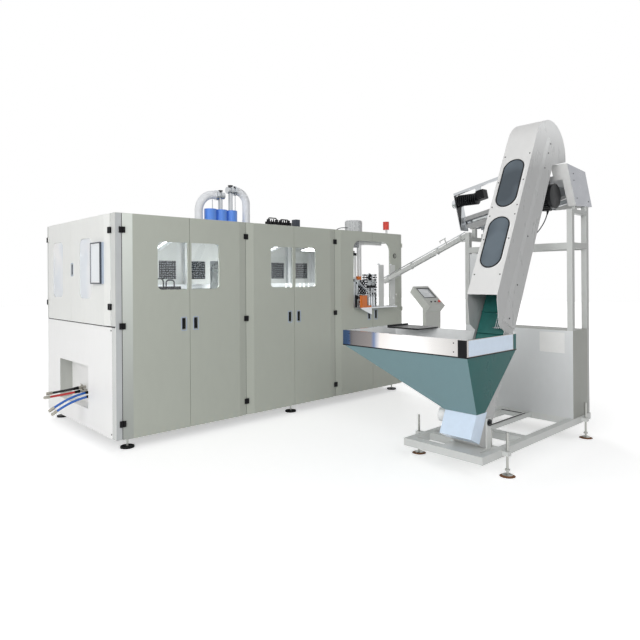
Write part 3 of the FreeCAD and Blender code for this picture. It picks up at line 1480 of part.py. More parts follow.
def build_unscrambler():
    """Side plates and cradle of the two rollers, with their own motor."""
    left, right = s.rail_x - 128, s.rail_x + 128
    long = s.roll_long
    gauge, tall, low = s.cheek_gauge, s.cheek_tall, 0 - s.cheek_low
    pieces = [
        leaning_box("cheek_left", gauge, long + 6, 34, left, -6, low),
        leaning_box("cheek_right", gauge, long + 6, tall, right - gauge, -6, low),
        leaning_box("guard_left", gauge, long + 6, 44, left, -6, 16),
        leaning_box("end_low", right - left, 6, tall + 10, left, -12, low),
        leaning_box("end_high", right - left - 2 * gauge, 6, tall, left + gauge, long, low),
        leaning_box("far_plate", 150, 6, 390, left - 112, -18, -95),
        leaning_box("top_rail", 28, 944, 28, left - 112, -18, 295),
        leaning_box("cradle_left", 40, 1124, 30, left - 10, 40, -90),
        leaning_box("cradle_right", 40, 1124, 30, right - 40, 40, -90),
    ]
    y, z = rolled(-12, 215)
    turn = Rotation(X_AXIS, 90 - float(s.roll_lean))
    can = rod("small_motor", 46, 250, left - 60, y, z, turn)
    y, z = rolled(-18, 215)
    cap = rod("small_cap", 47, 42, left - 60, y, z,
              Rotation(X_AXIS, -90 - float(s.roll_lean)))
    casing = [can]
    for k in range(4):
        y, z = rolled(10 + 30 * k, 215)
        casing.append(rod(f"small_rib_{k}", 50, 12, left - 60, y, z, turn))
    pieces += [fuse("small_casing", casing), cap]
    pieces.append(leaning_box("gearbox", 84, 90, 96, left - 102, 238, 165))
    pieces.append(leaning_box("gearbox_hanger", 20, 60, 34, left - 112, 250, 261))
    node("unscrambler", group("unscrambler", pieces))
    for name, side in (("roller_left", -1), ("roller_right", 1)):
        x = s.rail_x + side * s.roll_pitch / 2
        y, z = rolled(4, 0)
        turn = Rotation(X_AXIS, 90 - float(s.roll_lean))
        drum = rod(name + "_drum", s.roll_radius, long - 8, x, y, z, turn)
        y, z = rolled(-5.5, 0)
        shaft = rod(name + "_shaft", s.journal_radius, long + 5, x, y, z, turn)
        node(name, fuse(name, [drum, shaft]))


def build_rail():
    """The gravity rail: two bars with their clamps and a guard rod over them."""
    lower, upper = Vector(0, -112, 1460), Vector(0, -1338, 1982)
    way = upper - lower
    slope = -math.degrees(math.atan2(way.z, -way.y))
    turn = Rotation(X_AXIS, slope)
    long = way.Length
    pieces = []

    def along(name, length, width, height, x, run, up):
        place = lower + way * (run / long) + turn.multVec(Vector(0, 0, up))
        back = turn.multVec(Vector(0, -float(width), 0))
        return box(name, length, width, height, x, place.y + back.y, place.z + back.z, turn)

    thick, tall, apart = 8, 45, 42
    for i, side in enumerate((-1, 1)):
        x = s.rail_x + side * apart / 2 - thick / 2
        pieces.append(along(f"bar_{i}", thick, long, tall, x, 0, -22))
    for i, run in enumerate((60, 470, 880, 1270)):
        pieces.append(along(f"saddle_{i}", 50, 26, 8, s.rail_x - 25, run, -30))
    for i, run in enumerate((90, 500, 910, 1250)):
        pieces.append(along(f"hanger_{i}", 10, 20, 44, s.rail_x - 35, run, -12))
        pieces.append(along(f"keeper_{i}", 34, 20, 6, s.rail_x - 25, run, 32))
    place = lower + turn.multVec(Vector(0, 0, 44))
    guard = rod("guard_rod", 6, long, s.rail_x - 8, place.y, place.z,
                Rotation(X_AXIS, 90 + slope))
    pieces.append(guard)
    pieces.append(along("hook_stem", 8, 12, 62, s.rail_x - 34, 1060, 22))
    pieces.append(along("hook_arm", 8, 84, 9, s.rail_x - 34, 1000, 84))
    pieces.append(along("hook_tip", 8, 9, 26, s.rail_x - 34, 991, 67))
    node("rail", group("rail", pieces))


def build_boxes():
    """The elevator's electrical box, and the smaller one on the far post."""
    t = s.base_low + s.tube
    wide = s.stand_right - s.stand_left - s.stand_tube
    far = s.stand_far - 1
    main = box("main_box", wide - 1, far - s.base_near - 9, s.box_top - t, s.stand_left,
               s.base_near + 8, t)
    upper = box("upper_box", 70, 420, 670, s.stand_left + 10,
                s.stand_far - s.stand_tube - 420, 1090)
    grip = [box(f"grip_leg_{i}", 30, 8, 8, s.stand_left - 20, s.stand_far - 390, z)
            for i, z in enumerate((1560, 1640))]
    grip.append(box("grip_bar", 8, 8, 88, s.stand_left - 28, s.stand_far - 390, 1560))
    handle = fuse("box_grip", grip)
    node("electrical_box", group("electrical_box", [main, upper, handle]))


def build_console():
    """The free-standing desk with its sloped screen and three buttons."""
    body = doc.addObject("PartDesign::Body", "desk")
    side = new_sketch(body, "Side", "YZ_Plane")
    low, run, rise = s.panel_low, s.panel_run, s.panel_rise
    outline(side, [(0, low), (run, low + rise), (336, 1310), (76, 1041)])
    pad(body, "Head", side, s.desk_wide)
    stem = new_sketch(body, "Stem", "YZ_Plane")
    outline(stem, [(76, 10), (126, 10), (126, 1120), (76, 1060)])
    pad(body, "Column", stem, s.desk_wide)
    floor = new_sketch(body, "Floor", "YZ_Plane")
    outline(floor, [(10, 0), (250, 0), (250, 12), (10, 12)])
    pad(body, "Base", floor, s.desk_wide)
    body.Placement = machine_place(s.desk_left, s.desk_front, 0)
    slope = math.atan2(rise, run)
    tilt = Rotation(X_AXIS, math.degrees(slope))

    def on_panel(across, up, out):
        y = s.desk_front + up * math.cos(slope) - out * math.sin(slope)
        z = low + up * math.sin(slope) + out * math.cos(slope)
        return s.desk_left + across, y, z

    screen = box("screen_well", 281, 196, 8, *on_panel(32, 160, -4), tilt)
    tools = [screen]
    spots = (("console_button_left", 105, 11), ("console_button_right", 195, 11),
             ("console_stop", 285, 15))
    for name, across, radius in spots:
        tools.append(rod(name + "_bore", radius + 1, 12, *on_panel(across, 84, -10), tilt))
        stem_part = rod(name + "_stem", radius, 14, *on_panel(across, 84, -5), tilt)
        if name == "console_stop":
            dome = rod(name + "_dome", 20, 10, *on_panel(across, 84, 8), tilt)
            node(name, fuse(name, [stem_part, dome]))
        else:
            node(name, stem_part)
    node("console_body", cut("console_body", body, fuse("console_wells", tools)))


# ---------------------------------------------------------------- build

build_front_doors()
build_end_doors()
build_hmi()
build_cabinet_frame()
build_panels()
build_grilles()
build_end_lower()
build_feet()
build_clamp()
mould_half("mould_half_near", True)
mould_half("mould_half_far", False)
build_oven()
build_starwheel()
build_infeed()
build_infeed_brackets()
build_roof_tanks()
build_roof_valves()
build_roof_hoses()
build_fan_and_beacon()
build_supplies()
build_housing()
build_tower_glass()
build_belt()
build_motor()
build_hood()
build_hopper()
build_rim()
build_stand()
build_unscrambler()
build_rail()
build_boxes()
build_console()
doc.recompute()

for failed in [o for o in doc.Objects if {"Invalid", "Error"} & set(o.State)]:
    raise RuntimeError(f"{failed.Label} did not rebuild: {failed.State}")
for piece in NODES:
    if piece.Shape.isNull() or not piece.Shape.isValid():
        raise RuntimeError(f"{piece.Label} has no valid shape")
    piece.Shape.exportStep(f"parts/{piece.Label}.step")
print(len(NODES), "sub-parts")
whole = FreeCAD.BoundBox()
for piece in NODES:
    if piece.Label != "supply_hoses":
        whole.add(piece.Shape.BoundBox)
print("whole", [round(v, 2) for v in (whole.XMin, whole.XMax, whole.YMin, whole.YMax,
                                      whole.ZMin, whole.ZMax)])
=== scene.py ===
# %% [markdown]
# # A blow moulding machine in its studio
# The machine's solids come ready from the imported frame, so this file is about its looks:
# the camera that matches the photograph, the light, the finishes, and the small parts
# that are too fine for the solids. The frame is in metres, with +X along the doors, +Y away
# from them and +Z up. Places on the machine are written in millimetres.

# %% Load the frame
import math

import bmesh
import bpy
import numpy as np
from mathutils import Matrix, Vector


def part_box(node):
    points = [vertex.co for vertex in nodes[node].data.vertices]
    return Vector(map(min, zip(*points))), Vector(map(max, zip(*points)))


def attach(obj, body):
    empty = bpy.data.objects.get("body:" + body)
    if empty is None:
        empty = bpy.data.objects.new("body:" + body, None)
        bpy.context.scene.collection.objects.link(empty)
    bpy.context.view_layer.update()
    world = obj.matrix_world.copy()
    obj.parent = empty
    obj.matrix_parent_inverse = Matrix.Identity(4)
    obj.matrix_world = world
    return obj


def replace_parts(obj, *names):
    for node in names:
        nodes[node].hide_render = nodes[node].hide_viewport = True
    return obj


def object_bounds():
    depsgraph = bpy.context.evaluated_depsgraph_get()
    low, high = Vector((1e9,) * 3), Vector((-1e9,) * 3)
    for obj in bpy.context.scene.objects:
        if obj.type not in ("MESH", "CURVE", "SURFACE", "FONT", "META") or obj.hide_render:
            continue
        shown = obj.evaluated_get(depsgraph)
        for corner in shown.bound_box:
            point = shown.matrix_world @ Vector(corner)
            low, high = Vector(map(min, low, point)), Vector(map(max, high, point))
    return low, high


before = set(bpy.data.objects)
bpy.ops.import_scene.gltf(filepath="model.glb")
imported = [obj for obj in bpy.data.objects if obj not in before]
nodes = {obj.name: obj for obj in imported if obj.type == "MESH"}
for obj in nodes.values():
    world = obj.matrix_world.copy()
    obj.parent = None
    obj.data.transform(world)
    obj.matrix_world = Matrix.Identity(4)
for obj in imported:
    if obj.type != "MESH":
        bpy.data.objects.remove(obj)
cad_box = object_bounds()

# %% [markdown]
# ## Places
# The solids were drawn from the cabinet's front left corner on the floor. `place` moves
# such a place, in millimetres, into the frame, which has its origin under the middle of
# the whole machine. The tower leans, so it has its own directions: across its front, up
# along it, and out of its front face.

# %% Machine places
MM = 1000
CORNER = Vector((-2.2435, 0.456, 0.0))
LEAN = math.radians(26.4)
TOWER_X, TOWER_Z = 1800, 300


def place(x, y, z):
    """A machine place in millimetres as a point of the frame in metres."""
    return Vector((x, y, z)) / MM + CORNER


def leaning(across, y, along):
    """A place in the leaning tower's own directions, as machine millimetres."""
    return (TOWER_X + across * math.cos(LEAN) + along * math.sin(LEAN), y,
            TOWER_Z - across * math.sin(LEAN) + along * math.cos(LEAN))


# the three directions of a face: across it, up it and out of it
DOOR_FACE = ((1, 0, 0), (0, 0, 1), (0, -1, 0))
END_FACE = ((0, -1, 0), (0, 0, 1), (-1, 0, 0))
UPWARDS = ((1, 0, 0), (0, 1, 0), (0, 0, 1))
TOWER_FACE = ((0, -1, 0), (math.sin(LEAN), 0, math.cos(LEAN)),
              (-math.cos(LEAN), 0, math.sin(LEAN)))
print("cabinet corner at", tuple(round(c, 4) for c in CORNER))

# %% [markdown]
# ## Camera
# The photograph's straight edges give one perspective camera: its focal length in pixels,
# where it stands, which way it looks and a very small roll. The horizon lies above the
# middle of the picture. A camera could tilt down for that, but then the machine's uprights
# would lean together, so the lens is shifted instead and they stay upright.

# %% Camera
IMAGE_SIZE = 640
FOCAL_PIXELS = 559.7
HORIZON_ROW = 278.8
SENSOR_WIDTH = 36
YAW, ROLL = math.radians(46.9), -0.0063
EYE = place(-2031.5, -4786.6, 1506.9)

ahead = Vector((math.cos(YAW), math.sin(YAW), 0))
level = Vector((math.sin(YAW), -math.cos(YAW), 0))
upright = Vector((0, 0, 1))
right = level * math.cos(ROLL) + upright * math.sin(ROLL)
top = upright * math.cos(ROLL) - level * math.sin(ROLL)

lens = bpy.data.cameras.new("photo_lens")
lens.sensor_width = SENSOR_WIDTH
lens.lens = FOCAL_PIXELS * SENSOR_WIDTH / IMAGE_SIZE
lens.shift_y = (HORIZON_ROW - IMAGE_SIZE / 2) / IMAGE_SIZE
lens.clip_end = 100
camera = bpy.data.objects.new("photo_camera", lens)
camera.matrix_world = Matrix.Translation(EYE) @ Matrix((right, top, -ahead)).transposed().to_4x4()
bpy.context.scene.collection.objects.link(camera)
bpy.context.scene.camera = camera
bpy.context.scene.view_settings.view_transform = "Standard"
print("lens", round(lens.lens, 2), "mm, shift", round(lens.shift_y, 4))

# %% [markdown]
# ## Hoses and cables
# Two braided hoses and two polyurethane tubes leave the recess in the left end, a cable
# sags from the belt's motor to the stand, and another feeds the fan on the roof. Each is
# a fixed length of something round, so it is a curve with a bevel and not a mesh: a NURBS
# line with the route's points as its control points keeps every bend soft.

# %% Cords
# name: radius, and the route from its exit to its far end, in millimetres
ROUTES = {
    "hose_red": (11, [(52, 1000, 388), (-100, 996, 376), (-250, 990, 374)]),
    "hose_black": (12, [(52, 1040, 416), (-85, 1036, 405), (-215, 1030, 402)]),
    "hose_blue_high": (11, [(52, 720, 420), (-120, 712, 420), (-300, 700, 318)]),
    "hose_blue_low": (11, [(52, 690, 385), (-120, 676, 385), (-290, 660, 290)]),
    "motor_cable": (5, [(3130, -2410, 2127), (3206, -2340, 1960), (3206, -2130, 1834)]),
    "fan_cable": (5, [(3053, 350, 2100), (3053, 350, 2176), (3277.5, 350, 2176)]),
}


def draw_cord(name, radius, route):
    """One open NURBS line of order 3 through the route, with a round bevel. The bevel is
    one metre deep, and each point's radius scales it down to the cord's own."""
    line = bpy.data.curves.new(name, "CURVE")
    line.dimensions = "3D"
    line.resolution_u = 24
    line.bevel_depth = 1.0
    line.bevel_resolution = 6
    line.use_fill_caps = True
    spline = line.splines.new("NURBS")
    spline.points.add(len(route) - 1)
    for point, corner in zip(spline.points, route):
        point.co, point.radius = (*place(*corner), 1), radius / MM
    spline.order_u = 3
    spline.use_endpoint_u = True
    cord = bpy.data.objects.new(name, line)
    bpy.context.scene.collection.objects.link(cord)
    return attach(cord, "base")


cords = {name: draw_cord(name, radius, route) for name, (radius, route) in ROUTES.items()}
print(len(cords), "cords drawn")

# %% [markdown]
# ## Helpers for colours and nodes
# Colours are written as the hex values that a picture editor shows. Shaders work in linear
# light, so one function turns them. A second sets or links a node's inputs, a third adds a
# node, and a fourth starts a material: all the finishes below are built with these four.

# %% Colour and node helpers


def linear(hexed):
    """sRGB hex to linear light: c/12.92 up to 0.04045, else ((c + 0.055) / 1.055) ** 2.4."""
    parts = [int(hexed[i:i + 2], 16) / 255 for i in (1, 3, 5)]
    return [c / 12.92 if c <= 0.04045 else ((c + 0.055) / 1.055) ** 2.4 for c in parts] + [1.0]


def feed(tree, node, inputs):
    """Set each input to its value, or link it where the value is another node's socket."""
    for name, value in inputs.items():
        if isinstance(value, bpy.types.NodeSocket):
            tree.links.new(value, node.inputs[name])
        else:
            node.inputs[name].default_value = value


def add(tree, kind, inputs=None, stops=None, **settings):
    """Add a shader node with its settings and inputs. Stops are the (position, hex) pairs
    of a colour ramp."""
    node = tree.nodes.new("ShaderNode" + kind)
    for name, value in settings.items():
        setattr(node, name, value)
    feed(tree, node, inputs or {})
    if stops:
        elements = node.color_ramp.elements
        while len(elements) < len(stops):
            elements.new(0.5)
        for element, (position, hexed) in zip(elements, stops):
            element.position, element.color = position, linear(hexed)
    return node


def start(name):
    """A material with only its output and shader, and the Object coordinates in metres."""
    material = bpy.data.materials.new(name)
    material.use_nodes = True
    tree = material.node_tree
    tree.nodes.clear()
    shader = add(tree, "BsdfPrincipled")
    add(tree, "OutputMaterial", {"Surface": shader.outputs["BSDF"]})
    return material, tree, shader, add(tree, "TexCoord").outputs["Object"]


print("middle grey is", round(linear("#808080")[0], 3), "in linear light")

# %% [markdown]
# ## Floor and backdrop
# The photograph is a cut-out on white. A floor that turns plain white for the camera
# everywhere would lose the shadows, so it is a real pale surface that glows only a little
# under the machine and more further out. The world is white for the camera, for mirrors
# and through glass, and dimmer as light.

# %% Stage
AMBIENT = 0.32
FLOOR_REACH = 30.0
# the floor's glow under the machine and far out, and how far from its middle it changes
FLOOR_GLOW, FAR_GLOW = 0.46, 0.85
GLOW_STARTS, GLOW_ENDS = 2.5, 7.0


def seen_directly(tree):
    """1 for rays that come from the camera, a mirror or a pane, 0 for light."""
    path = add(tree, "LightPath").outputs
    eye = add(tree, "Math", {0: path["Is Camera Ray"], 1: path["Is Glossy Ray"]},
              operation="MAXIMUM")
    return add(tree, "Math", {0: eye.outputs[0], 1: path["Is Transmission Ray"]},
               operation="MAXIMUM").outputs[0]


def make_floor():
    """A square sheet whose emission, for the camera, grows with the distance from its middle."""
    mesh = bpy.data.meshes.new("studio_floor")
    corners = [(x * FLOOR_REACH, y * FLOOR_REACH, 0) for x, y in ((-1, -1), (1, -1), (1, 1), (-1, 1))]
    mesh.from_pydata(corners, [], [(0, 1, 2, 3)])
    floor = bpy.data.objects.new("studio_floor", mesh)
    bpy.context.scene.collection.objects.link(floor)
    material, tree, shader, where = start("white studio vinyl")
    middle = add(tree, "VectorMath", {0: where}, operation="LENGTH").outputs["Value"]
    glow = add(tree, "MapRange", {"Value": middle, "From Min": GLOW_STARTS, "From Max": GLOW_ENDS,
                                  "To Min": FLOOR_GLOW, "To Max": FAR_GLOW}).outputs["Result"]
    strength = add(tree, "Math", {0: seen_directly(tree), 1: glow}, operation="MULTIPLY")
    feed(tree, shader, {"Base Color": linear("#F4F4F4"), "Roughness": 0.9,
                        "Emission Color": (1, 1, 1, 1), "Emission Strength": strength.outputs[0]})
    mesh.materials.append(material)


def make_world():
    """White of strength 1 for what is seen directly, and of the ambient strength as light."""
    world = bpy.data.worlds.new("white studio")
    bpy.context.scene.world = world
    world.use_nodes = True
    tree = world.node_tree
    tree.nodes.clear()
    strength = add(tree, "MapRange", {"Value": seen_directly(tree), "To Min": AMBIENT,
                                      "To Max": 1.0}).outputs["Result"]
    light = add(tree, "Background", {"Color": (1, 1, 1, 1), "Strength": strength})
    add(tree, "OutputWorld", {"Surface": light.outputs["Background"]})


make_floor()
make_world()
print("ambient", AMBIENT, "floor glow", FLOOR_GLOW, "to", FAR_GLOW)

# %% [markdown]
# ## Lamps
# Three large square softboxes light the outside and throw soft shadows; the end of the
# cabinet is lighter than its doors, so the largest stands at the left. Three small lamps
# hang in the cabinet's bays, because the works behind the windows would be too dark
# without them. A polished part would show a lamp as a white square, so the lamps are
# hidden from reflections.

# %% Lamps
# name: where it hangs and what it faces in metres, its side in metres, its power in watts
LAMPS = {
    "left_softbox": ((-11.5, -3.5, 4.0), (0, 0, 1.4), 5.5, 500),
    "front_softbox": ((-5, -7.5, 4), (-1.5, 0, 1.2), 3.5, 200),
    "rear_softbox": ((8, 8, 6), (0, 0, 1.2), 5.0, 420),
    "cabinet_lamp_one": (place(700, 700, 1950), place(700, 900, 900), 0.6, 19),
    "cabinet_lamp_two": (place(2250, 500, 1950), place(2250, 900, 900), 0.5, 24),
    "cabinet_lamp_three": (place(3400, 900, 1950), place(3400, 700, 900), 0.5, 9),
}


def make_lamp(name, at, towards, side, watts):
    """A square area lamp that faces a point and stays out of reflections."""
    lamp = bpy.data.lights.new(name, "AREA")
    lamp.shape = "SQUARE"
    lamp.size = side
    lamp.energy = watts
    holder = bpy.data.objects.new(name, lamp)
    holder.location = at
    holder.rotation_euler = (Vector(towards) - Vector(at)).to_track_quat("-Z", "Y").to_euler()
    holder.visible_glossy = False
    bpy.context.scene.collection.objects.link(holder)


for name, settings in LAMPS.items():
    make_lamp(name, *settings)
print(len(LAMPS), "lamps")

# %% [markdown]
# ## Painted sheet
# Doors and panels are folded steel with a powder coat: a paint baked from dry powder,
# which leaves a very fine orange peel. An even colour would look like plastic, so broad
# soft blotches and a little dust vary it. The peel is drawn 3 mm wide, coarser than the
# real one, so that the render can show it. The tower's side, the first door's fold and the
# side of the electrical box get lighter towards their tops: painted light, and on the
# tower's head a painted highlight.

# %% Powder coats
BLOTCH_MM, DUST_MM, PEEL_MM = 900, 60, 3
# nearly all of a noise lies between these two values
NOISE_LOW, NOISE_HIGH = 0.3, 0.7


def powder_coat(name, hexed, roughness=0.42, shade=0.05, peel=0.06, sheen=0.5, painted_light=None):
    """The colour times two noises, which vary it by the shade. A painted light (low, high, gain)
    makes it lighter from the low height to the high one, in metres, by the gain: light
    painted onto the top of a part."""
    material, tree, shader, where = start(name)
    drawn = add(tree, "Mapping", {"Vector": where, "Scale": (1, 1, 0.4)}).outputs["Vector"]
    wide = add(tree, "TexNoise", {"Vector": where, "Scale": MM / BLOTCH_MM, "Detail": 3.0})
    dusty = add(tree, "TexNoise", {"Vector": drawn, "Scale": MM / DUST_MM,
                                   "Detail": 4.0}).outputs["Fac"]
    grain = add(tree, "TexNoise", {"Vector": where, "Scale": MM / PEEL_MM, "Detail": 1.0})
    tone = add(tree, "Math", {0: wide.outputs["Fac"], 1: dusty}, operation="MULTIPLY")
    value = add(tree, "MapRange", {"Value": tone.outputs[0], "From Min": 0.1, "From Max": 0.45,
                                   "To Min": 1 - shade, "To Max": 1 + shade}).outputs["Result"]
    if painted_light:
        height = add(tree, "SeparateXYZ", {"Vector": where}).outputs["Z"]
        gain = add(tree, "MapRange", {"Value": height, "From Min": painted_light[0], "From Max": painted_light[1],
                                      "To Min": 1.0, "To Max": painted_light[2]}).outputs["Result"]
        value = add(tree, "Math", {0: value, 1: gain}, operation="MULTIPLY").outputs[0]
    colour = add(tree, "HueSaturation", {"Color": linear(hexed), "Value": value})
    gloss = add(tree, "MapRange", {"Value": dusty, "From Min": NOISE_LOW, "From Max": NOISE_HIGH,
                                   "To Min": roughness - 0.05, "To Max": roughness + 0.07})
    skin = add(tree, "Bump", {"Height": grain.outputs["Fac"], "Strength": peel,
                              "Distance": 0.4 / MM})
    feed(tree, shader, {"Base Color": colour.outputs["Color"], "Specular IOR Level": sheen,
                        "Roughness": gloss.outputs["Result"], "Normal": skin.outputs["Normal"]})
    return material


# folded sheet, satin: broad and soft highlights
DOOR_PAINT = powder_coat("grey powder coat", "#B7BBB1", 0.42, 0.02)
PANEL_PAINT = powder_coat("light grey powder coat", "#D5D7D4")
END_PAINT = powder_coat("white powder coat", "#ECEDEA", 0.4, 0.03)
LOW_PAINT = powder_coat("bright white powder coat", "#F8F8F7", 0.4, 0.02)
CONSOLE_PAINT = powder_coat("pale grey powder coat", "#CACCC7", 0.42, 0.02)
# the first door's fold: the door's grey made lighter and bluer, more so towards its top: painted
# light
FOLD_LIGHT_PAINT = powder_coat("blue-grey powder coat with painted light", "#A5A9A4", 0.4, 0.02, painted_light=(0.3, 2.0, 1.9))
# the walls of the end panel's recess: a darker grey as painted shade
RECESS_SHADE_PAINT = powder_coat("grey painted recess shade", "#B4B6B1", 0.42, 0.03)
BOX_PAINT = powder_coat("cabinet grey powder coat", "#93958F", 0.42, 0.03)
# the electrical box's left side: the box's grey much lighter, more so towards its top: painted light
BOX_SIDE_LIGHT = powder_coat("box side powder coat with painted light", "#D2D4D5", 0.42, 0.02,
                        painted_light=(0.35, 1.1, 1.24))
# the tower's sheet is smoother, so that its rounded head catches a clear highlight
TOWER_PAINT = powder_coat("pearl grey powder coat", "#E6E6E5", 0.33, 0.03)
# the tower's sides: darker than its face as painted shade, lighter at the head as a painted
# highlight; the unscrambler's cheek wears the same grey
SIDE_GREY_AND_SHADE = powder_coat("satin grey powder coat", "#B1B2B2", 0.3, 0.03, painted_light=(2.45, 2.85, 2.1))
# enamel on welded tube: dull on the cabinet's frame, glossier on the elevator's stand
FRAME_PAINT = powder_coat("frame enamel", "#C3C6C7", 0.45)
STAND_PAINT = powder_coat("silver-grey enamel", "#D2D4D2", 0.38, 0.03)
# the stand's posts where they face the front: the stand's grey darker as painted shade
POST_SHADE_PAINT = powder_coat("grey enamel", "#AEB0AE", 0.38, 0.03)
# gloss enamel: sharper highlights, and hardly any peel on the teal and the blue
TEAL_PAINT = powder_coat("teal enamel", "#6F8F95", 0.2, 0.02, 0.02)
# the hopper's sloping near side: a much darker teal as painted shade; the rim's strip wears it too
DEEP_TEAL_AND_SHADE = powder_coat("deep teal enamel and painted shade", "#085856", 0.3, 0.02, 0.02, 0.22)
ORANGE_PAINT = powder_coat("orange enamel", "#D8722A", 0.3)
BLUE_PAINT = powder_coat("blue gloss enamel", "#6398F2", 0.2, 0.05, 0.02)
BLACK_PAINT = powder_coat("black enamel", "#16181B", 0.3, sheen=0.3)
print(sum("powder coat" in m.name for m in bpy.data.materials), "powder coats")

# %% [markdown]
# ## Bare metals
# A metal's colour comes from its reflection, so it is nearly neutral and the roughness
# and the lines tell one finish from another. Brushing and machining leave lines one way:
# noise that is drawn out along them. The brush lines are drawn 1.2 mm apart, coarser than
# real ones. Plated and blackened parts have no direction, only a cloudy sheen.

# %% Metals
SMUDGE_MM = 120
EVEN = (1, 1, 1)


def metal(name, hexed, roughness, line, along=EVEN, strength=0.12):
    """Noise about a line's width in millimetres wide, stretched where along is small, tints
    and bumps the metal; wider smudges vary its roughness."""
    material, tree, shader, where = start(name)
    drawn = add(tree, "Mapping", {"Vector": where, "Scale": along}).outputs["Vector"]
    lines = add(tree, "TexNoise", {"Vector": drawn, "Scale": MM / line,
                                   "Detail": 2.0}).outputs["Fac"]
    smudge = add(tree, "TexNoise", {"Vector": where, "Scale": MM / SMUDGE_MM, "Detail": 3.0})
    value = add(tree, "MapRange", {"Value": lines, "From Min": NOISE_LOW,
                                   "From Max": NOISE_HIGH, "To Min": 0.93, "To Max": 1.05})
    colour = add(tree, "HueSaturation", {"Color": linear(hexed), "Value": value.outputs["Result"]})
    rough = add(tree, "MapRange", {"Value": smudge.outputs["Fac"], "From Min": NOISE_LOW,
                                   "From Max": NOISE_HIGH, "To Min": roughness * 0.8,
                                   "To Max": roughness * 1.25})
    skin = add(tree, "Bump", {"Height": lines, "Strength": strength, "Distance": 0.1 / MM})
    feed(tree, shader, {"Base Color": colour.outputs["Color"], "Metallic": 1.0,
                        "Roughness": rough.outputs["Result"], "Normal": skin.outputs["Normal"]})
    return material


# lines drawn out along Y: the works look turned and ground
MACHINED = metal("machined steel", "#C8CBCE", 0.3, 2.0, (1, 0.2, 1))
# lines drawn out along X, as a wide cutter leaves them: paler and duller than steel
ALUMINIUM = metal("milled aluminium", "#D2D4D6", 0.34, 1.6, (0.1, 1, 1))
# upright brush lines: reflections run into streaks
STAINLESS = metal("brushed stainless steel", "#A8AAAF", 0.32, 1.2, (1, 1, 0.02))
# nearly a mirror, with hardly a wave in it
CHROME = metal("chrome plate", "#D9DCDF", 0.1, 8.0, strength=0.02)
# plated or blackened: a cloudy sheen without direction
ZINC = metal("zinc-plated steel", "#B9BAB6", 0.32, 3.0)
NICKEL = metal("nickel-plated brass", "#B5B2A9", 0.28, 3.0)
BLACK_OXIDE = metal("black-oxide steel", "#3A3B3D", 0.42, 3.0)
print("metals from", MACHINED.name, "to", BLACK_OXIDE.name)

# %% [markdown]
# ## Plastics and rubber
# Moulded parts have the satin skin of their mould. Braided hoses and felt have a coarse
# grain instead, so the same recipe takes the grain's size and depth. A single colour would
# do for such small pieces, but faint patches 40 mm wide keep the larger ones, such as the
# belt, from looking flat.

# %% Plastics
PATCH_MM = 40


def moulded(name, hexed, roughness=0.4, grain=1.5, strength=0.08, patchy=0.08, sheen=0.5):
    """A colour in faint patches, with a bumpy grain of so many millimetres."""
    material, tree, shader, where = start(name)
    patch = add(tree, "TexNoise", {"Vector": where, "Scale": MM / PATCH_MM, "Detail": 3.0})
    fine = add(tree, "TexNoise", {"Vector": where, "Scale": MM / grain, "Detail": 1.0})
    value = add(tree, "MapRange", {"Value": patch.outputs["Fac"], "From Min": NOISE_LOW,
                                   "From Max": NOISE_HIGH, "To Min": 1 - patchy,
                                   "To Max": 1 + patchy})
    colour = add(tree, "HueSaturation", {"Color": linear(hexed), "Value": value.outputs["Result"]})
    skin = add(tree, "Bump", {"Height": fine.outputs["Fac"], "Strength": strength,
                              "Distance": 0.2 / MM})
    feed(tree, shader, {"Base Color": colour.outputs["Color"], "Roughness": roughness,
                        "Specular IOR Level": sheen, "Normal": skin.outputs["Normal"]})
    return material


# injection-moulded covers and handles: satin, with no grain to see
BLACK_PLASTIC = moulded("black nylon", "#0D0E11", 0.45, sheen=0.2)
SLATE_PLASTIC = moulded("slate ABS", "#2F3744", 0.35)
PALE_BLUE = moulded("pale blue ABS", "#AEBACB", 0.35, patchy=0.02)
WHITE_PLASTIC = moulded("white ABS", "#EEEFEF", 0.35, patchy=0.02)
RED_PLASTIC = moulded("red beacon polycarbonate", "#E2493C", 0.22)
# extruded or calendered: ducts and tubes shine, the belt and the cables are duller
DUCT_PLASTIC = moulded("translucent duct PVC", "#F0F2F5", 0.3, patchy=0.03)
HOSE_BLUE = moulded("blue polyurethane hose", "#2F66BC", 0.2)
CABLE_BLACK = moulded("black cable PVC", "#1E2023", 0.4)
BELT_RUBBER = moulded("teal conveyor PVC", "#266560", 0.45, 4)
# braid and felt: a grain deep enough to see; the rubber is dull and smooth, also where it stands for
# shade in the door gaps
HOSE_RED = moulded("red braided hose", "#C23A3C", 0.45, 2.5, 0.3)
HOSE_BLACK = moulded("black braided hose", "#232529", 0.45, 2.5, 0.3)
BROWN_PAD = moulded("brown felt pad", "#6E4B32", 0.8, 2.5, 0.3)
# black rubber for gaskets and rings, and for the strips in the door gaps that are painted shade
RUBBER_AND_GAP_SHADE = moulded("black rubber and painted gap shade", "#131416", 0.6, sheen=0.25)
# thin sheets: the film is slack in 60 mm waves, the card is matt; on the rim it is a painted
# reflection
BLUE_FILM_AND_REFLECTION = moulded("pale blue protective film and painted reflection", "#D6E6F8", 0.2, 60, 0.06, 0.02)
PAPER = moulded("blank white card", "#F3F3F2", 0.6, 4, 0.05, 0.01)

COATS = {"hose_red": HOSE_RED, "hose_black": HOSE_BLACK, "hose_blue_high": HOSE_BLUE,
         "hose_blue_low": HOSE_BLUE, "motor_cable": CABLE_BLACK, "fan_cable": CABLE_BLACK}
for name, coat in COATS.items():
    cords[name].data.materials.append(coat)
print(len(COATS), "cords have their coats")

# %% [markdown]
# ## Panes
# The door windows are clear polycarbonate and the tower's are smoked. The real sheets
# are a few millimetres thick and solid, so one transmitting shader does for them. The end
# doors and the tower are seen by what they reflect more than by what is behind them, so
# their panes let less through and their tint drifts softly between two colours as a
# painted reflection.

# %% Glass
SMEAR_MM, REFLECTION_MM = 250, 300


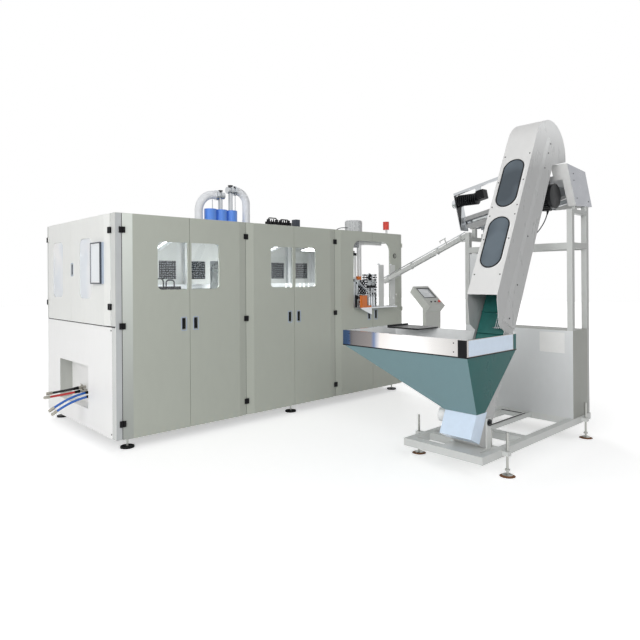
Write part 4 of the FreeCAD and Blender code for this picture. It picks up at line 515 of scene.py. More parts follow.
def pane(name, hexed, roughness=0.02, ior=1.5, weight=1.0, reflection_tint=None):
    """A weight of 1 is clear and 0 opaque. With a reflection tint the colour drifts to it, as a
    painted reflection.
    """
    material, tree, shader, where = start(name)
    smear = add(tree, "TexNoise", {"Vector": where, "Scale": MM / SMEAR_MM, "Detail": 2.0})
    skin = add(tree, "Bump", {"Height": smear.outputs["Fac"], "Strength": 0.02,
                              "Distance": 0.5 / MM})
    tint = linear(hexed)
    if reflection_tint:
        reflection_noise = add(tree, "TexNoise", {"Vector": where, "Scale": MM / REFLECTION_MM, "Detail": 1.0})
        tint = add(tree, "ValToRGB", {"Fac": reflection_noise.outputs["Fac"]},
                   [(0.36, hexed), (0.62, reflection_tint)]).outputs["Color"]
    feed(tree, shader, {"Base Color": tint, "Roughness": roughness, "IOR": ior,
                        "Transmission Weight": weight, "Normal": skin.outputs["Normal"]})
    return material


CLEAR = pane("clear polycarbonate", "#F6FAFC")
# the end doors' and the tower's panes: the drift of their tint is a painted reflection
PALE_PANE = pane("frosted polycarbonate with painted reflection", "#EEF3F9", 0.1, 1.5, 0.2, "#FFFFFF")
SMOKED = pane("smoked polycarbonate", "#4F5B65", 0.08, 1.45, 0.3, "#74828D")
# a weight of 0: opaque and pale, for the touch panel and the console
SCREEN = pane("screen glass", "#EDF1F4", 0.08, 1.5, 0.0)
print("four kinds of pane")

# %% [markdown]
# ## Punched sheet
# The filter grilles, the fan's drum and the guard over the infeed are sheet with small
# openings. Cut as geometry, they would be thousands of holes, so a Voronoi pattern with
# little randomness draws them, 16 to 30 mm apart, coarser than the real ones. On an upright
# sheet the pattern is flat, in X and Z, because the flat cut through a solid pattern would
# show spots of many sizes.

# %% Punched sheet


def punched(name, sheet, hole, pitch, upright_sheet=False, rim=(0.28, 0.42)):
    """Spots a pitch in millimetres apart, of the hole's colour inside the rim's first
    radius and of the sheet's outside its second, in parts of the pitch."""
    material, tree, shader, where = start(name)
    if upright_sheet:
        split = add(tree, "SeparateXYZ", {"Vector": where}).outputs
        where = add(tree, "CombineXYZ", {"X": split["X"], "Y": split["Z"]}).outputs[0]
    cells = add(tree, "TexVoronoi", {"Vector": where, "Scale": MM / pitch, "Randomness": 0.35},
                voronoi_dimensions="2D" if upright_sheet else "3D")
    edge = add(tree, "MapRange", {"Value": cells.outputs["Distance"], "From Min": rim[0],
                                  "From Max": rim[1]}).outputs["Result"]
    # the mix node has an input A and B for each kind of data; 6 and 7 are the colours
    colour = add(tree, "Mix", {0: edge, 6: linear(hole), 7: linear(sheet)}, data_type="RGBA")
    skin = add(tree, "Bump", {"Height": edge, "Strength": 0.6, "Distance": 1.0 / MM})
    feed(tree, shader, {"Base Color": colour.outputs[2], "Roughness": 0.5,
                        "Normal": skin.outputs["Normal"]})
    return material


# pale spots on black: the pads behind the grilles show through
DARK_MESH = punched("black filter mesh", "#141619", "#A4A9AE", 30, True, (0.2, 0.32))
# grey and dark holes in pale sheet
FAN_MESH = punched("galvanised fan mesh", "#D9DBDC", "#A0A4A6", 16)
GUARD_MESH = punched("punched guard sheet", "#B4B7BA", "#303336", 18, True)
print("three punched sheets")

# %% [markdown]
# ## The polished rim
# The hopper's rim is a mirror, and in an empty white studio a mirror shows plain white.
# So a painted reflection runs along it: grey at the near end, white in the middle,
# dark with touches of blue at the far end. A picture on the sheet could do that, but a
# ramp on the coordinate is plainer. A soft wave shifts the painted reflection by a few
# percent, as a slightly uneven sheet does.

# %% Rim
# where the painted reflection starts and ends along Y, in metres of the frame
RIM_NEAR, RIM_FAR = -2.25, -0.87
RIPPLE_MM, TINT_SHIFT = 260, 0.08
RIM_PAINTED_REFLECTIONS = [(0.13, "#A9A7A5"), (0.35, "#CFCDCB"), (0.5, "#F1F0EF"), (0.72, "#D9D5D2"),
             (0.76, "#6C7C9C"), (0.79, "#827D7B"), (0.98, "#6A6869"), (1.0, "#566F9B")]


def mirror_rim():
    """The tint's place is the run along Y from 0 to 1, plus the shift times a soft noise."""
    material, tree, shader, where = start("mirror-polished stainless steel")
    drawn = add(tree, "Mapping", {"Vector": where, "Scale": (1, 1, 0.4)}).outputs["Vector"]
    wave = add(tree, "TexNoise", {"Vector": drawn, "Scale": MM / RIPPLE_MM,
                                  "Detail": 2.0}).outputs["Fac"]
    along = add(tree, "SeparateXYZ", {"Vector": where}).outputs["Y"]
    run = add(tree, "MapRange", {"Value": along, "From Min": RIM_NEAR, "From Max": RIM_FAR})
    shifted = add(tree, "Math", {0: wave, 1: TINT_SHIFT, 2: run.outputs["Result"]},
                  operation="MULTIPLY_ADD")
    tint = add(tree, "ValToRGB", {"Fac": shifted.outputs[0]}, RIM_PAINTED_REFLECTIONS)
    skin = add(tree, "Bump", {"Height": wave, "Strength": 0.05, "Distance": 1.0 / MM})
    feed(tree, shader, {"Base Color": tint.outputs["Color"], "Metallic": 1.0, "Roughness": 0.08,
                        "Normal": skin.outputs["Normal"]})
    return material


POLISHED = mirror_rim()
print(len(RIM_PAINTED_REFLECTIONS), "tints along the rim")

# %% [markdown]
# ## Who wears what
# Each solid comes with a plain material of its own. It gets its finish by name.

# %% Finishes of the solids
BAYS = [f"{bay}_{side}" for bay in (1, 2, 3) for side in ("left", "right")]
FINISHES = {
    DOOR_PAINT: [f"door_{bay}" for bay in BAYS],
    END_PAINT: ["end_door_front", "end_door_rear"],
    LOW_PAINT: ["end_lower_panel"],
    PANEL_PAINT: ["outer_panels"],
    FRAME_PAINT: ["cabinet_frame"],
    CONSOLE_PAINT: ["console_body"],
    STAND_PAINT: ["elevator_frame", "rail"],
    BOX_PAINT: ["electrical_box"],
    TOWER_PAINT: ["tower_housing"],
    TEAL_PAINT: ["hopper"],
    ORANGE_PAINT: ["infeed_brackets"],
    BLUE_PAINT: ["roof_cylinders"],
    MACHINED: ["clamp_frame", "oven_bank", "infeed_station", "roof_valves", "tail_drum",
               "head_drum", "unscrambler"],
    ALUMINIUM: ["mould_half_near", "mould_half_far"],
    CHROME: ["roller_left", "roller_right", "starwheel"],
    POLISHED: ["hopper_rim"],
    STAINLESS: ["discharge_hood"],
    ZINC: ["levelling_feet"],
    NICKEL: ["hose_fittings"],
    FAN_MESH: ["roof_fan"],
    BLACK_PLASTIC: [f"latch_{bay}" for bay in BAYS] + ["end_latch", "console_button_left",
                                                       "console_button_right"],
    PALE_BLUE: ["hmi_panel"],
    DARK_MESH: ["filter_grilles"],
    RED_PLASTIC: ["beacon", "console_stop"],
    BELT_RUBBER: ["belt"],
    CLEAR: [f"window_{bay}" for bay in BAYS[:4]],
    PALE_PANE: ["end_window_front", "end_window_rear"],
    SMOKED: ["tower_windows"],
}
REPLACED = {"supply_hoses", "drive_motor", "roof_hoses"}

for material, names in FINISHES.items():
    for name in names:
        nodes[name].data.materials.clear()
        nodes[name].data.materials.append(material)
finished = {name for names in FINISHES.values() for name in names}
print("pieces without a finish:", sorted(set(nodes) - finished - REPLACED))

# %% [markdown]
# ## Finishes by place
# One solid often joins parts that a fitter would paint apart: black hinge blocks on a grey
# door, a rubber foot under a steel stem. The solid could be cut up, but a mesh can hold
# several materials, and each triangle says which it wears. So the triangles whose middles
# lie between two machine corners, or that face one way, are given another finish, and
# their shape stays as it is.

# %% Second finishes
FAR = 9999
LOWEST, HIGHEST = (-FAR,) * 3, (FAR,) * 3
TO_DOORS, TO_REAR, TO_LEFT, UP, DOWN = (0, -1, 0), (0, 1, 0), (-1, 0, 0), (0, 0, 1), (0, 0, -1)


def second_finish(name, material, low=LOWEST, high=HIGHEST, facing=None):
    """Triangles in the box from low to high, in machine millimetres, that turn towards
    facing: the triangle's normal times that direction is above a half."""
    mesh = nodes[name].data
    if material.name not in mesh.materials:
        mesh.materials.append(material)
    count = len(mesh.polygons)
    middle, normal = np.empty(count * 3), np.empty(count * 3)
    mesh.polygons.foreach_get("center", middle)
    mesh.polygons.foreach_get("normal", normal)
    middle = (middle.reshape(-1, 3) - np.array(CORNER)) * MM
    chosen = np.all((middle > low) & (middle < high), axis=1)
    if facing:
        chosen &= normal.reshape(-1, 3) @ np.array(facing, float) > 0.5
    worn = np.empty(count, np.int32)
    mesh.polygons.foreach_get("material_index", worn)
    worn[chosen] = mesh.materials.find(material.name)
    mesh.polygons.foreach_set("material_index", worn)
    return int(chosen.sum())


def repaint(table):
    """The table gives each piece its rows: finish, low corner, high corner and, where it
    counts, facing. It returns how many triangles they changed."""
    return sum(second_finish(name, *row) for name, rows in table.items() for row in rows)


# %% [markdown]
# ## Sheet, hinges and hopper
# The hinge blocks repeat along the doors' seams at two or three heights, so loops find
# them. A face that the photograph shows lighter or darker than its neighbours, such as
# the hopper's near side, is chosen by the way it faces and given a lighter or darker
# finish: painted light and painted shade.

# %% Finishes of the sheet metal
SHEET = {
    # the first door's fold beside the corner post, lighter than the door: painted light
    "door_1_left": [(FOLD_LIGHT_PAINT, (62, -60, 100), (150, -4.4, 2096), TO_DOORS)],
    # the corner post's hinge blocks, the lamps under the roof, the rear shelf
    "cabinet_frame": [(BLACK_PLASTIC, (33, -17, 200), (59, 0.9, 1980))]
    + [(WHITE_PLASTIC, (x, 750, 1830), (x + 61, 1230, 2030)) for x in (925, 2560)]
    + [(WHITE_PLASTIC, (62, 1570, 1391), (3895, 1734, 1447))],
    # strips and hinge blocks beside the end doors
    "outer_panels": [(BLACK_PLASTIC, (-18, 70, 1240), (-0.1, 1775, 1980))],
    # both sides of the tower, darker than its face: painted shade
    "tower_housing": [(SIDE_GREY_AND_SHADE, LOWEST, HIGHEST, TO_DOORS),
                      (SIDE_GREY_AND_SHADE, LOWEST, HIGHEST, TO_REAR)],
    # what faces up, white as painted light, and the sloping near side, dark teal as painted shade
    "hopper": [(WHITE_PLASTIC, LOWEST, HIGHEST, UP),
               (DEEP_TEAL_AND_SHADE, LOWEST, HIGHEST, (0, -0.8, -0.6))],
    # the rim's inside, white as painted light, the boot's film, the boot's end cap and its neck, the
    # side tray
    "hopper_rim": [(WHITE_PLASTIC, (1485, -2568, 900), (2195, -1331, 1056.5)),
                   (BLUE_FILM_AND_REFLECTION, (1600, -2524, 250), (1834, -2246, 479)),
                   (WHITE_PLASTIC, (1690, -2236, 350), (1810, -2160, 480)),
                   (BLACK_PLASTIC, (1690, -2247, 350), (1810, -2231, 480)),
                   (BLACK_PAINT, (1899, -1831, 1056), (2191, -1479, 1084))],
    # two walls of its recess, darker: painted shade
    "end_lower_panel": [(RECESS_SHADE_PAINT, (1, 400, 150), (127, 1500, 900), way)
                        for way in (TO_DOORS, DOWN)],
    # faces towards the left: the box's side, lighter as painted light; the touch panel's front; the
    # hood's plate, white as painted light
    "electrical_box": [(BOX_SIDE_LIGHT, LOWEST, HIGHEST, TO_LEFT)],
    "hmi_panel": [(WHITE_PLASTIC, LOWEST, HIGHEST, TO_LEFT)],
    "discharge_hood": [(TOWER_PAINT, LOWEST, HIGHEST, TO_LEFT)],
    # the beacon's foot, and the stand's posts where they face the front, darker: painted shade
    "beacon": [(WHITE_PLASTIC, LOWEST, (FAR, FAR, 2158))],
    "elevator_frame": [(POST_SHADE_PAINT, (1500, -2700, 800), HIGHEST, TO_DOORS)],
}
changed = repaint(SHEET)

# where the hinge blocks start, across and up, and how tall they are
FRONT_SEAMS, FRONT_HEIGHTS = (61, 1359, 1387, 2660, 2688), (213, 1073, 1923)
END_SEAMS, END_HEIGHTS = (100, 1721), (1243, 1923)
BLOCK_TALL = 55
for door in ("door_1_left", "door_1_right", "door_2_left", "door_2_right", "door_3_left"):
    for x in FRONT_SEAMS:
        for z in FRONT_HEIGHTS:
            changed += second_finish(door, BLACK_PLASTIC, (x - 3, -24, z - 1),
                                     (x + 27, -4.5, z + BLOCK_TALL))
for door in ("end_door_front", "end_door_rear"):
    for y in END_SEAMS:
        for z in END_HEIGHTS:
            changed += second_finish(door, BLACK_PLASTIC, (-24, y - 2, z - 1),
                                     (-4.5, y + 26, z + BLOCK_TALL))
print(changed, "triangles changed")

# %% [markdown]
# ## Works, stand and feet
# The works in the third bay and on the roof are a mix of chrome, black nylon and steel,
# and the stand has small parts in other finishes too. Where two boxes of a piece overlap,
# the later row wins.

# %% Finishes of the works
WORKS = {
    # gripper blocks, feed roller, posts, cylinder, its cap, guides, header, lifts, chute
    "infeed_station": [(BLACK_PLASTIC, (3190, -112, 1385), (3330, -50, 1425)),
                       (BLACK_PLASTIC, (3015, -40, 1140), (3080, -5, 1302)),
                       (STAND_PAINT, (3335, -141, 1150), (3660, -70, 1690)),
                       (WHITE_PLASTIC, (3150, 110, 1515), (3225, 190, 1800)),
                       (BLACK_PLASTIC, (3150, 110, 1801), (3225, 190, 1835)),
                       (WHITE_PLASTIC, (3240, 138, 1150), (3320, 156, 1990)),
                       (WHITE_PLASTIC, (3120, 75, 1940), (3650, 175, 2010)),
                       (CHROME, (3190, -95, 1150), (3330, -55, 1282)),
                       (CHROME, (3155, 55, 1150), (3360, 110, 1490))],
    # the valve island: its base, its valves, their air lines and the regulator
    "roof_valves": [(BLACK_PAINT, (2060, 460, 2099), (2490, 562, 2135)),
                    (BLACK_PLASTIC, (2068, 470, 2134), (2425, 553, 2197)),
                    (HOSE_BLACK, (2080, 500, 2196), (2410, 530, 2250)),
                    (SLATE_PLASTIC, (2488, 470, 2099), (2560, 560, 2250))],
    # the hub
    "starwheel": [(BLACK_PLASTIC, (3420, 90, 1329), (3500, 170, 1561))],
    # the knob and the key lock
    "door_3_right": [(BOX_PAINT, (3760, -45, 1775), (3820, -22.5, 1835)),
                     (ZINC, (3785, -45, 1270), (3825, -22.5, 1315))],
    # manifold, looped air lines, receivers
    "clamp_frame": [(BLACK_PLASTIC, (830, 890, 1300), (1165, 980, 1433)),
                    (HOSE_BLACK, (800, 840, 1433), (1180, 1010, 1700)),
                    (BLUE_PAINT, (814, 854, 879), (1166, 1006, 1301))],
    "oven_bank": [(WHITE_PLASTIC, (2430, 590, 1351), (2870, 680, 1449))],
    # the small motor, its end cap and its gearbox, and the left cheek
    "unscrambler": [(BLACK_PAINT, (3210, -1610, 2270), (3320, -1335, 2425)),
                    (CHROME, (3215, -1353, 2262), (3320, -1290, 2370)),
                    (BLACK_PLASTIC, (3220, -1700, 2320), (3312, -1580, 2440)),
                    (SIDE_GREY_AND_SHADE, (3316, -2563, 2030), (3358, -1456, 2300))],
    # rubber strips on the low frame, the base's top in white as painted light, the leg's bearing, the
    # tension screw
    "elevator_frame": [(RUBBER_AND_GAP_SHADE, (2370, -2200, 200.5), (3080, -1950, 209)),
                       (RUBBER_AND_GAP_SHADE, (3060, -2185, 200.5), (3080, -1950, 209)),
                       (LOW_PAINT, (1400, -2700, 205), (FAR, FAR, 420), UP),
                       (BLACK_PAINT, (1815, -2553, 365), (1872, -2532, 425)),
                       (ZINC, (1880, -2534, 200), (1898, -2518, 329))],
    # pads of the cabinet's feet and of the elevator's
    "levelling_feet": [(BLACK_PLASTIC, (50, 20, -1), (3950, 1770, 30)),
                       (BROWN_PAD, (1800, -2720, -1), (3450, -1380, 10))],
    "rail": [(CHROME, (3440, -1330, 1490), (3454, -90, 2030))],
}
changed += repaint(WORKS)
print(changed, "triangles changed in all")

# %% [markdown]
# ## Surfaces worked out with numpy
# Every small piece below is a set of rings of points. A ring is a rounded rectangle, which
# with a corner of half its width is a circle; a profile says how far each ring is pulled
# in and how high it lies. `placed` turns the rings to the face that the piece sits on, and
# `make_piece` joins the rings with quads and closes the ends, so no shell is left open.
# Primitives with modifiers could make some of these, but one recipe makes them all.

# %% Rings and pieces
TINY = 0.01


def loop(wide, tall, corner, steps=5):
    """A rounded rectangle about the origin: quarter circles of the corner's radius whose
    centres lie at (wide/2 - corner, tall/2 - corner), joined by straight sides."""
    turn = np.linspace(0, np.pi / 2, steps + 1)
    angle = np.concatenate([turn + k * np.pi / 2 for k in range(4)])
    side = np.repeat([(1, 1), (-1, 1), (-1, -1), (1, -1)], steps + 1, axis=0)
    centre = side * (np.array([wide, tall]) / 2 - corner)
    return centre + corner * np.stack([np.cos(angle), np.sin(angle)], -1)


def stacked(wide, tall, corner, profile, steps=5):
    """Rings over each other: the outline shrunk by each inset, at each height. Its corners
    shrink too, but never to nothing."""
    return np.stack([np.c_[loop(wide - 2 * inset, tall - 2 * inset,
                                max(corner - inset, TINY), steps),
                           np.full(4 * (steps + 1), height)] for inset, height in profile])


def placed(rings, at, face):
    """at + x times across + y times up + z times out."""
    return np.array(at, float) + rings @ np.array(face, float)


def quads(rows, columns, first, closed):
    """Corner numbers of each quad: a point, its neighbour round the ring, and the two on
    the next ring. closed joins the last ring to the first."""
    row, column = np.meshgrid(np.arange(rows - (not closed)), np.arange(columns),
                              indexing="ij")
    after, beside = (row + 1) % rows, (column + 1) % columns
    return first + np.stack([row * columns + column, row * columns + beside,
                             after * columns + beside, after * columns + column],
                            -1).reshape(-1, 4)


def make_piece(name, parts, material, body="base", closed=False, sharp=35):
    """Parts are arrays of rings in machine millimetres; they become one mesh. Edges that
    turn by more than sharp degrees stay crisp."""
    points, faces, first = [], [], 0
    for rings in parts:
        rows, columns = rings.shape[:2]
        faces += quads(rows, columns, first, closed).tolist()
        if not closed:
            last = first + (rows - 1) * columns
            faces += [list(range(first, first + columns)), list(range(last, last + columns))]
        points.append(rings.reshape(-1, 3))
        first += rows * columns
    mesh = bpy.data.meshes.new(name)
    mesh.from_pydata((np.concatenate(points) / MM + np.array(CORNER)).tolist(), [], faces)
    shape = bmesh.new()
    shape.from_mesh(mesh)
    bmesh.ops.recalc_face_normals(shape, faces=shape.faces)
    shape.to_mesh(mesh)
    shape.free()
    mesh.shade_smooth()
    mesh.set_sharp_from_angle(angle=math.radians(sharp))
    mesh.materials.append(material)
    piece = bpy.data.objects.new(name, mesh)
    bpy.context.scene.collection.objects.link(piece)
    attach(piece, body)
    print(name, len(mesh.polygons), "faces")
    return piece


# %% [markdown]
# ## Couplings, ferrules and glands
# Hoses end in turned couplings and leave their valves through tapered ferrules; cables
# leave through glands. All are bodies of revolution along the hose: rings whose radius
# follows a profile. A spin would turn them too, but `make_piece` also closes their ends.

# %% Hose ends


def turned(foot, towards, profile, steps=5):
    """Rings round an axis: each (radius, run) of the profile lies that far along it. A
    ring has that many steps in each quarter."""
    foot, towards = np.array(foot, float), np.array(towards, float)
    along = (towards - foot) / np.linalg.norm(towards - foot)
    beside = np.cross(along, (0, 0, 1) if abs(along[2]) < 0.9 else (1, 0, 0))
    beside /= np.linalg.norm(beside)
    rings = np.stack([np.c_[loop(2 * radius, 2 * radius, radius, steps),
                            np.full(4 * (steps + 1), run)] for radius, run in profile])
    return placed(rings, foot, (beside, np.cross(along, beside), along))


# how far each turned part stands out from the hose, and the run along it
COUPLING = [(4.2, -14), (4.8, 0), (5, 2), (5, 8), (3.4, 9), (3.4, 12), (5, 13), (5, 28),
            (4, 30), (4, 34), (4.6, 36), (4.6, 40), (3.4, 42)]
FERRULE = [(5, -2), (5, 14), (3.4, 16), (2.4, 40), (1, 52)]
GLAND = [(11, -3), (11, 6), (9.5, 7), (9.5, 13), (7.5, 20), (6, 34)]
couplings, ferrules, glands = {}, [], []
for name, (radius, route) in ROUTES.items():
    if name.startswith("hose"):
        ends = np.array(route[-2:], float)
        couplings[name] = make_piece(
            name + "_coupling",
            [turned(ends[1], ends[1] + (ends[1] - ends[0]),
                    [(radius + grow, run) for grow, run in COUPLING])], NICKEL)
        ferrules.append(turned(route[0], route[1], [(radius + grow, run) for grow, run in FERRULE]))
    else:
        glands.append(turned(route[0], route[1], GLAND))
stand_end = ROUTES["motor_cable"][1]
glands.append(turned(stand_end[2], stand_end[1], GLAND))
make_piece("hose_ferrules", ferrules, BLACK_PLASTIC)
make_piece("cable_glands", glands, BLACK_PLASTIC)

# %% The red hose replaces the supply hoses
for name, cord in cords.items():
    radius, route = ROUTES[name]
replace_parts(cords["hose_red"], "supply_hoses")

# %% [markdown]
# ## Belt motor
# A cast motor with fins along it, for cooling. An array of thin blocks could be the fins,
# but they would lie on the body with seams. Here the skin is one surface of two
# parameters, the angle round the shaft and the run along it: a profile gives the radius
# along the run and a wave round the angle lifts the fins, only where the body is.

# %% Motor
MOTOR_X, MOTOR_Y, MOTOR_Z = 3100, -2500, 2260
FIN_COUNT, FIN_TALL = 24, 15


def finned_motor():
    """Radius = profile(run) + fin height where there are fins, times a clipped cosine."""
    run = np.array([0, 3, 33, 36, 40, 46, 222, 228, 231, 252, 254])
    radius = np.array([108, 115, 115, 108, 98, 98, 98, 98, 110, 110, 106.0])
    fins = np.array([0, 0, 0, 0, 0, 1, 1, 0, 0, 0, 0.0])
    angle = np.linspace(0, 2 * np.pi, 12 * FIN_COUNT, endpoint=False)
    crest = np.clip(2.2 * np.cos(FIN_COUNT * angle) + 0.6, 0, 1)
    spread = radius[:, None] + FIN_TALL * fins[:, None] * crest[None, :]
    return np.stack([MOTOR_X + spread * np.cos(angle), MOTOR_Y + run[:, None] + 0 * spread,
                     MOTOR_Z + spread * np.sin(angle)], -1)


# the arm's plate behind the motor, a round boss on it, and the cable's box
bracket = [placed(stacked(330, 110, 8, [(1.5, 0), (0, 1.5), (0, 10.5), (1.5, 12)]),
                  (3015, -2226, 2335), DOOR_FACE),
           placed(stacked(68, 68, 34, [(2, 0), (0, 2), (0, 13), (2, 15)]),
                  (3100, -2236, 2300), DOOR_FACE),
           placed(stacked(60, 60, 6, [(2, 0), (0, 2), (0, 60), (3, 64), (3, 70)]),
                  (3130, -2370, 2160), DOOR_FACE)]
motor = make_piece("belt_motor", [finned_motor()], BLACK_PAINT, sharp=30)
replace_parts(motor, "drive_motor")
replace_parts(make_piece("motor_bracket", bracket, BLACK_PAINT), "drive_motor")
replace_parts(cords["motor_cable"], "drive_motor")

# %% [markdown]
# ## Air ducts
# Two corrugated ducts leave the valve heads, bend over and drop to the roof. A bevelled
# curve could bend like that, but each corrugation would need points of its own, so the
# radius is worked out along the path: a short straight, a quarter circle and a drop, with
# one wave for each 12 mm corrugation.

# %% Ducts
ROOF_Z, DUCT_Y = 2100, 550
DUCT_RADIUS, WAVE_TALL, WAVE_LONG = 43.5, 2.5, 12


def corrugated(x, z, way, rise, bend):
    """Centre, and the direction square to it, from the run along the duct; then a ring of
    radius + wave height times cos(2 pi run / wave length) round each centre."""
    arc = bend * np.pi / 2
    total = rise + arc + z - bend - ROOF_Z
    run = np.linspace(0, total, int(total / WAVE_LONG) * 5 + 1)
    turn = np.clip((run - rise) / bend, 0, np.pi / 2)
    before, after = np.minimum(run, rise), np.maximum(run - rise - arc, 0)
    centre = np.stack([x + way * (before + bend * np.sin(turn)), DUCT_Y + 0 * run,
                       z - bend * (1 - np.cos(turn)) - after], -1)
    outer = np.stack([way * np.sin(turn), 0 * run, np.cos(turn)], -1)
    angle = np.linspace(0, 2 * np.pi, 32, endpoint=False)
    radius = (DUCT_RADIUS + WAVE_TALL * np.cos(2 * np.pi * run / WAVE_LONG))[:, None, None]
    round_it = (outer[:, None] * np.cos(angle)[None, :, None]
                + np.array([0, 1, 0]) * np.sin(angle)[None, :, None])
    return centre[:, None] + radius * round_it


ducts = make_piece("air_ducts", [corrugated(1622, 2516, 1, 30, 140),
                                 corrugated(1395, 2445, -1, 40, 190)], DUCT_PLASTIC, sharp=80)
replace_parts(ducts, "roof_hoses")
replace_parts(cords["fan_cable"], "roof_hoses")

# %% [markdown]
# ## Latch frames and window gaskets
# A bright frame lines each sunk latch, and a black gasket clamps each pane of the tower;
# a thin white bead round the gasket is a painted highlight. All are a small section
# carried round a rounded rectangle. A curve with a bevel object would carry it too, but
# as a closed run of rings it needs no conversion, and its corners stay where the numbers
# put them.

# %% Frames


def framed(wide, tall, corner, section, at, face, steps=6):
    """The section's points (outwards, height) each give one ring round the outline."""
    return placed(stacked(wide, tall, corner, [(-out, height) for out, height in section],
                          steps), at, face)


FLAT_BEAD = [(-0.5, 0.0), (-0.5, 1.6), (0.5, 2.2), (8, 2.2), (9, 1.4), (9, 0)]
FRAME_WIDE, FRAME_TALL, FRAME_CORNER = 44, 116, 3
# a frame's middle lies this far under its latch's top, on the door's skin
LATCH_DROP, DOOR_SKIN = 52, -22
# the two doors of the third bay stand still, so what is on them rides the base
LATCHES = {"latch_1_left": "door_1_left", "latch_1_right": "door_1_right",
           "latch_2_left": "door_2_left", "latch_2_right": "door_2_right",
           "latch_3_left": "base", "latch_3_right": "base", "end_latch": "end_door_front"}
for latch, body in LATCHES.items():
    low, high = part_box(latch)
    middle = ((low + high) / 2 - CORNER) * MM
    height = high.z * MM - LATCH_DROP
    if latch == "end_latch":
        at, face = (DOOR_SKIN, middle.y, height), END_FACE
    else:
        at, face = (middle.x, DOOR_SKIN, height), DOOR_FACE
    make_piece(latch + "_frame",
               [framed(FRAME_WIDE, FRAME_TALL, FRAME_CORNER, FLAT_BEAD, at, face)],
               PALE_BLUE, body, True)

ROUND_BEAD = [(-7, 0), (-7, 3), (-4, 5), (0, 5), (2, 3), (2, -7), (0, -7), (0, 0)]
# a thin white ring round each gasket: painted highlight
HIGHLIGHT_BEAD = [(2.5, -7), (2.5, -2), (4, -1), (6, -2), (6, -7)]
PANE_WIDE, PANE_TALL = 190, 480
panes = [leaning(-305, -2385, foot + PANE_TALL / 2) for foot in (1290, 1870)]
for name, section, coat in (("window_gaskets", ROUND_BEAD, RUBBER_AND_GAP_SHADE),
                            ("window_highlight_beads", HIGHLIGHT_BEAD, WHITE_PLASTIC)):
    make_piece(name, [framed(PANE_WIDE, PANE_TALL, PANE_WIDE / 2, section, at, TOWER_FACE, 12)
                      for at in panes], coat, closed=True)

# %% [markdown]
# ## Shade strips in the gaps
# Thin dark lines part the doors: the shade in the gaps behind the meeting edges, in the
# hinge seams and under the doors of the end. Black strips stand for it as painted shade.
# A dark line could be painted on the doors, but a strip lies back in its gap and closes it,
# so the strips are blocks. One that closes a meeting gap is fixed to one door and swings
# with it.

# %% Shade strips


def box_rings(low, high, edge=1.0):
    """An upright block between two corners with a small chamfer round its top and foot."""
    low, high = np.array(low, float), np.array(high, float)
    size = high - low
    rings = stacked(size[0], size[1], edge, [(edge, 0), (0, edge), (0, size[2] - edge),
                                             (edge, size[2])], 1)
    return placed(rings, (low + high) / 2 - (0, 0, size[2] / 2), UPWARDS)


seams = [box_rings((x - 1.2, -3.6, 104), (x + 1.2, 0.9, 2095), 0.3) for x in (59.6, 1385, 2686)]
seams.append(box_rings((-5, 3, 1088), (-0.2, 1745, 1098.6), 1))
seams.append(box_rings((-1.2, 68, 103), (0.4, 71, 1087), 0.3))
make_piece("seam_shade_strips", seams, RUBBER_AND_GAP_SHADE)
make_piece("corner_strip", [box_rings((-2, 3, 103), (0.4, 68, 1087), 0.5)], STAND_PAINT)
# the third bay's strip is short, because the infeed stands in the opening above it
for body, x, tall in (("door_1_right", 718.6, 2090), ("door_2_right", 2031.6, 2090),
                      ("base", 3343.6, 1130)):
    make_piece(f"meeting_shade_strip_{int(x)}", [box_rings((x, 0.2, 110), (x + 10, 3.8, tall), 0.5)],
               RUBBER_AND_GAP_SHADE, body)
make_piece("end_meeting_shade_strip", [box_rings((0.2, 1008.6, 1108), (3.8, 1019, 2088), 0.5)],
           RUBBER_AND_GAP_SHADE, "end_door_rear")

# %% [markdown]
# ## Screens
# The touch panel on the end door has a glass face in a slate edge, and the console a
# sloping screen in a black bezel. A face could be painted onto the solid, but as a thin
# plate of its own it has the edge that catches the light. The console's screen lies on
# its desk's slope, so it gets three directions of its own.

# %% Screens
THIN = [(0, 0), (0, 0.8), (0.7, 1.3)]
TOUCH_Y, TOUCH_Z = 301, 1661
PANEL_EDGE = [(-10, 0), (-10, 1.2), (-8, 2), (1.5, 2), (2.5, 0.5), (2.5, -14), (0.4, -14),
              (0.4, 0)]
make_piece("hmi_screen", [placed(stacked(182, 332, 5, THIN), (-55.3, TOUCH_Y, TOUCH_Z), END_FACE)],
           SCREEN, "end_door_front")
make_piece("hmi_edge", [framed(222, 372, 6, PANEL_EDGE, (-58, TOUCH_Y, TOUCH_Z), END_FACE)],
           SLATE_PLASTIC, "end_door_front", True)

# the desk rises 267 mm over 287 mm; the screen's middle lies 258 mm up its slope
SLOPE, DESK_UP = math.atan2(267, 287), 258
DESK_FACE = ((1, 0, 0), (0, math.cos(SLOPE), math.sin(SLOPE)),
             (0, -math.sin(SLOPE), math.cos(SLOPE)))
BEZEL = [(-12, -3), (-12, 0), (-10, 1.5), (0, 1.5), (1, 0), (1, -3)]
screen_at = (4200 + 172.5, -297 + DESK_UP * math.cos(SLOPE), 1125 + DESK_UP * math.sin(SLOPE))
make_piece("console_screen", [placed(stacked(272, 188, 6, [(0, -3.9), (0, -2), (1, -1.5)]),
                                     screen_at, DESK_FACE)], SCREEN)
make_piece("console_bezel", [framed(278, 194, 8, BEZEL, screen_at, DESK_FACE)],
           BLACK_PLASTIC, closed=True)

# %% [markdown]
# ## Plates
# The electrical box carries a blank white card, a punched sheet guards the corner of the
# infeed opening, and the hopper's rim has a black corner, a pale blue sheet of painted
# reflection and a teal strip. All are the same thin plate with a broken edge, so a table
# and one loop make them.

